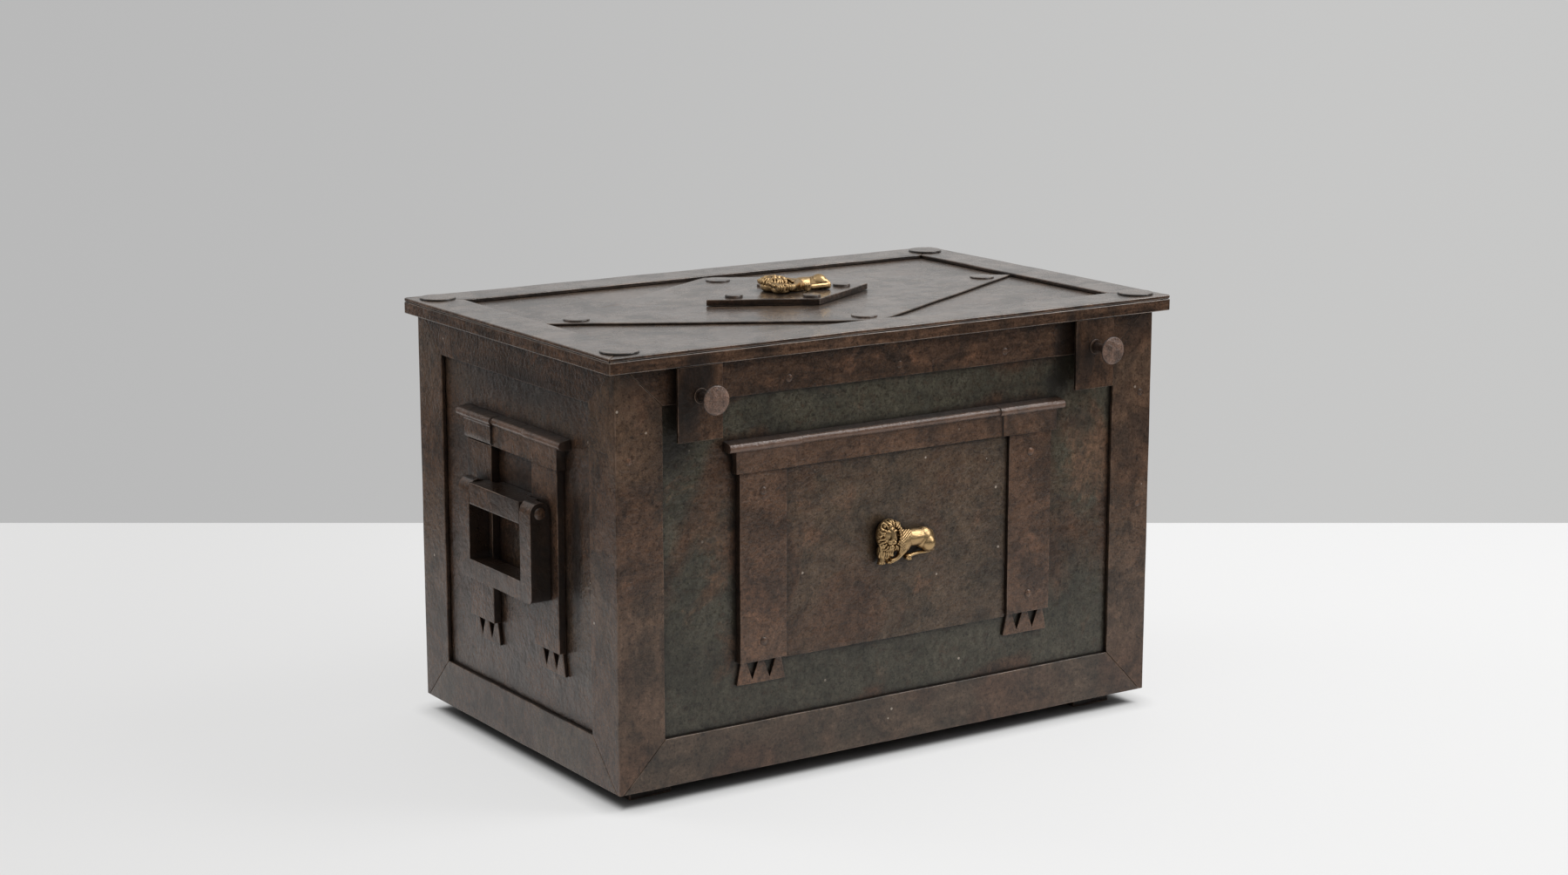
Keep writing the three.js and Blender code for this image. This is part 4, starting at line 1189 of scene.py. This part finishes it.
class CHEST_OT_rivets(MakePiece, bpy.types.Operator):
    """Sets the rivets of the pilasters, the strips and the hinge leaves"""

    bl_idname = "chest.rivets"
    bl_label = "Rivets"
    peg_plate = 21.5 * MILLIMETRE  # height of the plate under a front pilaster
    post_shares = (0.49, 0.775)  # where the rivets are up a corner post
    # For each kind of hinge leaf: how far out its rivets spread, the weights of its lower and its upper edge
    # in their height, and the depth from its inner side to its outer face
    leaves = {"body": (0.6, 2, 1, 3 * MILLIMETRE), "lid": (0.35, 1, 3, 6.8 * MILLIMETRE)}

    def execute(self, context):
        sizes = context.scene.chest_sizes
        self.tree = rivet_tree()
        size = (sizes.rivet_radius, sizes.rivet_height)
        self.set_rivets("pilaster_rivets", self.pilaster_places(sizes), size, "rivet", "front_pilaster_left")
        size = (sizes.flush_radius, sizes.flush_height)
        self.set_rivets("strip_rivets", self.strip_places(sizes), size, "rivet", "top_rail_front")
        size = (sizes.leaf_radius, sizes.leaf_height)
        for kind, sizes_of_leaf in self.leaves.items():
            places = self.leaf_places(f"hinge_{kind}_leaf", *sizes_of_leaf)
            self.set_rivets(f"{kind}_leaf_rivets", places, size, "fitting", f"hinge_{kind}_leaf_left")
        return {"FINISHED"}

    def pilaster_places(self, sizes):
        """Two rivets on each pilaster of the front, near its ends."""
        places = []
        for side in ("left", "right"):
            low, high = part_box(f"front_pilaster_{side}")
            for up in (low.z + self.peg_plate + sizes.rivet_inset, high.z - sizes.rivet_inset):
                places.append((((low.x + high.x) / 2, low.y, up), (0, -1, 0)))
        return places

    def strip_places(self, sizes):
        """Filed rivets, three on each top rail and two up each corner of the front and back."""
        places = []
        for side, sign in (("front", -1), ("back", 1)):
            low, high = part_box(f"top_rail_{side}")
            face = low.y if sign < 0 else high.y
            for index in (-1, 0, 1):
                places.append(((index * sizes.flush_spacing, face, low.z + sizes.flush_inset), (0, sign, 0)))
            for corner in ("left", "right"):
                low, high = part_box(f"corner_post_{side}_{corner}")
                across = high.x - sizes.flush_outer if corner == "right" else low.x + sizes.flush_outer
                for share in self.post_shares:
                    places.append(((across, face, low.z + share * (high.z - low.z)), (0, sign, 0)))
        return places

    def leaf_places(self, leaf, spread, below, above, depth):
        """Three rivets across each of two hinge leaves."""
        places = []
        for side in ("left", "right"):
            low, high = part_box(f"{leaf}_{side}")
            up = (low.z * below + high.z * above) / (below + above)
            for share in (-spread, 0, spread):
                across = middle_of(f"{leaf}_{side}").x + share * (high.x - low.x) / 2
                places.append(((across, low.y + depth, up), (0, 1, 0)))
        return places

    def set_rivets(self, name, places, size, finish, beside):
        """Turns the places into one mesh of rivets, which ride with the piece beside them."""
        mesh = bpy.data.meshes.new(f"{name}_places")
        mesh.from_pydata([place for place, out in places], [], [])
        out = mesh.attributes.new("out", "FLOAT_VECTOR", "POINT")
        out.data.foreach_set("vector", [value for place, direction in places for value in direction])
        holder = add_object(f"{name}_holder", mesh)
        modifier = holder.modifiers.new("Rivets", "NODES")
        modifier.node_group = self.tree
        given = {
            "Radius": size[0],
            "Height": size[1],
            "Sides": bpy.context.scene.chest_sizes.rivet_sides,
            "Finish": finish_pair(finish)[0],
        }
        for socket in self.tree.interface.items_tree:
            if socket.in_out == "INPUT" and socket.name in given:
                modifier[socket.identifier] = given[socket.name]
        piece = add_object(name, mesh_of(holder))
        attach(piece, frame["nodes"][beside]["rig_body"])


# The place and the size of each lamp, and where they all aim
LAMPS = {
    "right": ((2.7, -2.3, 1.9), 1.6),
    "left": ((-2.0, 2.2, 2.0), 1.4),
    "top": ((1.5, -0.9, 2.5), 1.3),
}
LAMP_AIM = Vector((0, 0, 0.2))

# How far the floor and the wall reach, and the dark of the far floor in the iron's reflections
FLOOR_REACH, WALL_REACH, WALL_HEIGHT = 9.0, 3.0, 3.0
FAR_FLOOR = (0.03, 0.03, 0.03)


class CHEST_OT_stage(MakePiece, bpy.types.Operator):
    """Sets the floor, the wall, the lamps and the camera"""

    bl_idname = "chest.stage"
    bl_label = "Stage"

    def execute(self, context):
        stage = context.scene.chest_stage
        self.ahead = Vector((math.sin(stage.turn), math.cos(stage.turn), 0))
        self.aside = Vector((math.cos(stage.turn), -math.sin(stage.turn), 0))
        self.make_floor(stage)
        self.make_wall(stage)
        self.make_lamps(stage)
        self.make_world(context.scene, stage)
        self.make_camera(context.scene, stage)
        context.scene.view_settings.view_transform = "Standard"
        return {"FINISHED"}

    def make_sheet(self, name, corners, material):
        """One flat square of the stage."""
        mesh = bpy.data.meshes.new(name)
        mesh.from_pydata([tuple(corner) for corner in corners], [], [(0, 1, 2, 3)])
        mesh.materials.append(material)
        return add_object(name, mesh)

    def make_floor(self, stage):
        """A wide level floor, a little darker at the left of the picture, with a painted shadow round and
        under the chest.
        """
        material, tree = new_material("pale floor")
        corner = tree.add("ShaderNodeTexCoord").outputs["Object"]
        across = tree.vector("DOT_PRODUCT", corner, self.aside, "Value")
        tint = tree.mix(tree.ramp(across, -0.9, 0.2), stage.floor_left, stage.floor_right)
        # Painted contact shadow: ambient occlusion round the chest, times a painted shadow under it
        shade = tree.add("ShaderNodeAmbientOcclusion", {"Distance": stage.shade_reach}, samples=12)
        light = tree.times(shade.outputs["AO"], self.clear_of_chest(tree, stage.underside))
        glow = tree.add("ShaderNodeEmission", {"Color": tint, "Strength": light})
        rays = tree.add("ShaderNodeLightPath").outputs
        away = tree.vector("LENGTH", corner, output="Value")
        far = tree.times(tree.ramp(away, stage.table, 2.2 * stage.table), rays["Is Glossy Ray"])
        matt = {"Base Color": tree.mix(far, tint, FAR_FLOOR), "Roughness": 0.6, "Specular IOR Level": 0.2}
        matt = tree.add("ShaderNodeBsdfPrincipled", matt)
        mirrored = tree.minus(rays["Is Glossy Ray"], far)
        seen = tree.most(rays["Is Camera Ray"], mirrored, rays["Is Transmission Ray"])
        both = {0: tree.times(seen, stage.glow), 1: matt.outputs[0], 2: glow.outputs[0]}
        tree.show(tree.add("ShaderNodeMixShader", both))
        ways = ((-1, -1), (1, -1), (1, 1), (-1, 1))
        self.make_sheet("floor", [(x * FLOOR_REACH, y * FLOOR_REACH, 0) for x, y in ways], material)

    def clear_of_chest(self, tree, reach):
        """1 outside the rectangle that the box stands over, and 0 further inside it than the reach: the
        painted shadow under the chest.
        """
        low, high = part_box("corner_post_front_left")[0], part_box("corner_post_back_right")[1]
        place = tree.add("ShaderNodeNewGeometry").outputs["Position"]
        off = tree.vector("SUBTRACT", place, ((low.x + high.x) / 2, (low.y + high.y) / 2, 0))
        half = ((high.x - low.x) / 2, (high.y - low.y) / 2, 0)
        off = tree.vector("SUBTRACT", tree.vector("ABSOLUTE", off), half)
        parts = tree.add("ShaderNodeSeparateXYZ", {0: off}).outputs
        return tree.ramp(tree.most(parts[0], parts[1]), -reach, -0.1 * reach)

    def make_wall(self, stage):
        """A wall that only the camera and mirror reflections see, and only from the front."""
        material, tree = new_material("grey wall")
        across = tree.add("ShaderNodeSeparateXYZ", {0: tree.add("ShaderNodeUVMap").outputs[0]}).outputs[0]
        tint = tree.mix(tree.ramp(across, 0.32, 0.66), stage.wall_left, stage.wall_right)
        mirrored = tree.add("ShaderNodeLightPath").outputs["Is Glossy Ray"]
        dimmed = tree.times(mirrored, tree.ramp(tree.off_centre(across), 0.2, 0.33), 0.9)
        glow = tree.add("ShaderNodeEmission", {"Color": tint, "Strength": tree.minus(1.0, dimmed)})
        clear = tree.add("ShaderNodeBsdfTransparent")
        behind = tree.add("ShaderNodeNewGeometry").outputs["Backfacing"]
        sides = {0: behind, 1: glow.outputs[0], 2: clear.outputs[0]}
        tree.show(tree.add("ShaderNodeMixShader", sides))
        foot = Vector((stage.place[0], stage.place[1], 0)) + self.ahead * stage.wall_distance
        corners = [foot - self.aside * WALL_REACH, foot + self.aside * WALL_REACH]
        corners += [corner + Vector((0, 0, WALL_HEIGHT)) for corner in reversed(corners)]
        wall = self.make_sheet("wall", corners, material)
        wall.data.uv_layers.new(name="wall")
        for loop, place in zip(wall.data.uv_layers["wall"].data, ((0, 0), (1, 0), (1, 1), (0, 1))):
            loop.uv = place
        wall.visible_diffuse = False
        wall.visible_shadow = False

    def make_lamps(self, stage):
        """Three broad soft lamps."""
        for name, (place, size) in LAMPS.items():
            data = bpy.data.lights.new(f"{name} lamp", "AREA")
            data.energy = getattr(stage, name)
            data.size = size
            lamp = add_object(f"{name} lamp", data)
            lamp.location = place
            lamp.rotation_euler = (Vector(place) - LAMP_AIM).to_track_quat("Z", "Y").to_euler()

    def make_world(self, scene, stage):
        """An even pale room, lighter overhead."""
        scene.world = bpy.data.worlds.new("pale room")
        scene.world.use_nodes = True
        tree = Tree(scene.world.node_tree)
        ways = tree.add("ShaderNodeSeparateXYZ", {0: tree.add("ShaderNodeTexCoord").outputs["Generated"]})
        sky = tree.ramp(ways.outputs[2], 0.0, 0.8, 0.3 * stage.world, 1.5 * stage.world)
        shade = tree.tree.nodes["Background"]
        shade.inputs[0].default_value = (1, 1, 1, 1)
        tree.tree.links.new(sky, shade.inputs[1])

    def make_camera(self, scene, stage):
        """The camera of the photograph."""
        data = bpy.data.cameras.new("camera")
        data.sensor_width = 36
        data.lens = stage.lens
        data.clip_start = 0.05
        data.clip_end = 100
        camera = add_object("camera", data)
        level = math.cos(stage.tilt)
        ahead = Vector((math.sin(stage.turn) * level, math.cos(stage.turn) * level, -math.sin(stage.tilt)))
        camera.location = stage.place
        camera.rotation_euler = ahead.to_track_quat("-Z", "Y").to_euler()
        scene.camera = camera


class CHEST_PT_panel(bpy.types.Panel):
    """Lists the pieces of the chest"""

    bl_idname = "CHEST_PT_panel"
    bl_label = "Coffer chest"
    bl_space_type = "VIEW_3D"
    bl_region_type = "UI"
    bl_category = "Chest"

    def draw(self, context):
        column = self.layout.column(align=True)
        for operator in STEPS:
            column.operator(operator.bl_idname)
        for group in (context.scene.chest_sizes, context.scene.chest_colours, context.scene.chest_stage):
            box = self.layout.box()
            for name in group.__annotations__:
                box.prop(group, name)


STEPS = (
    CHEST_OT_sheets,
    CHEST_OT_strips,
    CHEST_OT_feet,
    CHEST_OT_orders,
    CHEST_OT_handles,
    CHEST_OT_lid,
    CHEST_OT_hasps,
    CHEST_OT_hinges,
    CHEST_OT_lions,
    CHEST_OT_rivets,
    CHEST_OT_stage,
)
GROUPS = {"chest_sizes": ChestSizes, "chest_colours": IronColours, "chest_stage": StageSettings}


def register():
    for name, group in GROUPS.items():
        bpy.utils.register_class(group)
        setattr(bpy.types.Scene, name, PointerProperty(type=group))
    for made in (*STEPS, CHEST_PT_panel):
        bpy.utils.register_class(made)


def unregister():
    for made in (CHEST_PT_panel, *reversed(STEPS)):
        bpy.utils.unregister_class(made)
    for name, group in GROUPS.items():
        delattr(bpy.types.Scene, name)
        bpy.utils.unregister_class(group)


def main():
    """Makes every piece and the stage."""
    register()
    for operator in STEPS:
        family, _, step = operator.bl_idname.partition(".")
        getattr(getattr(bpy.ops, family), step)()


if __name__ == "__main__":
    main()
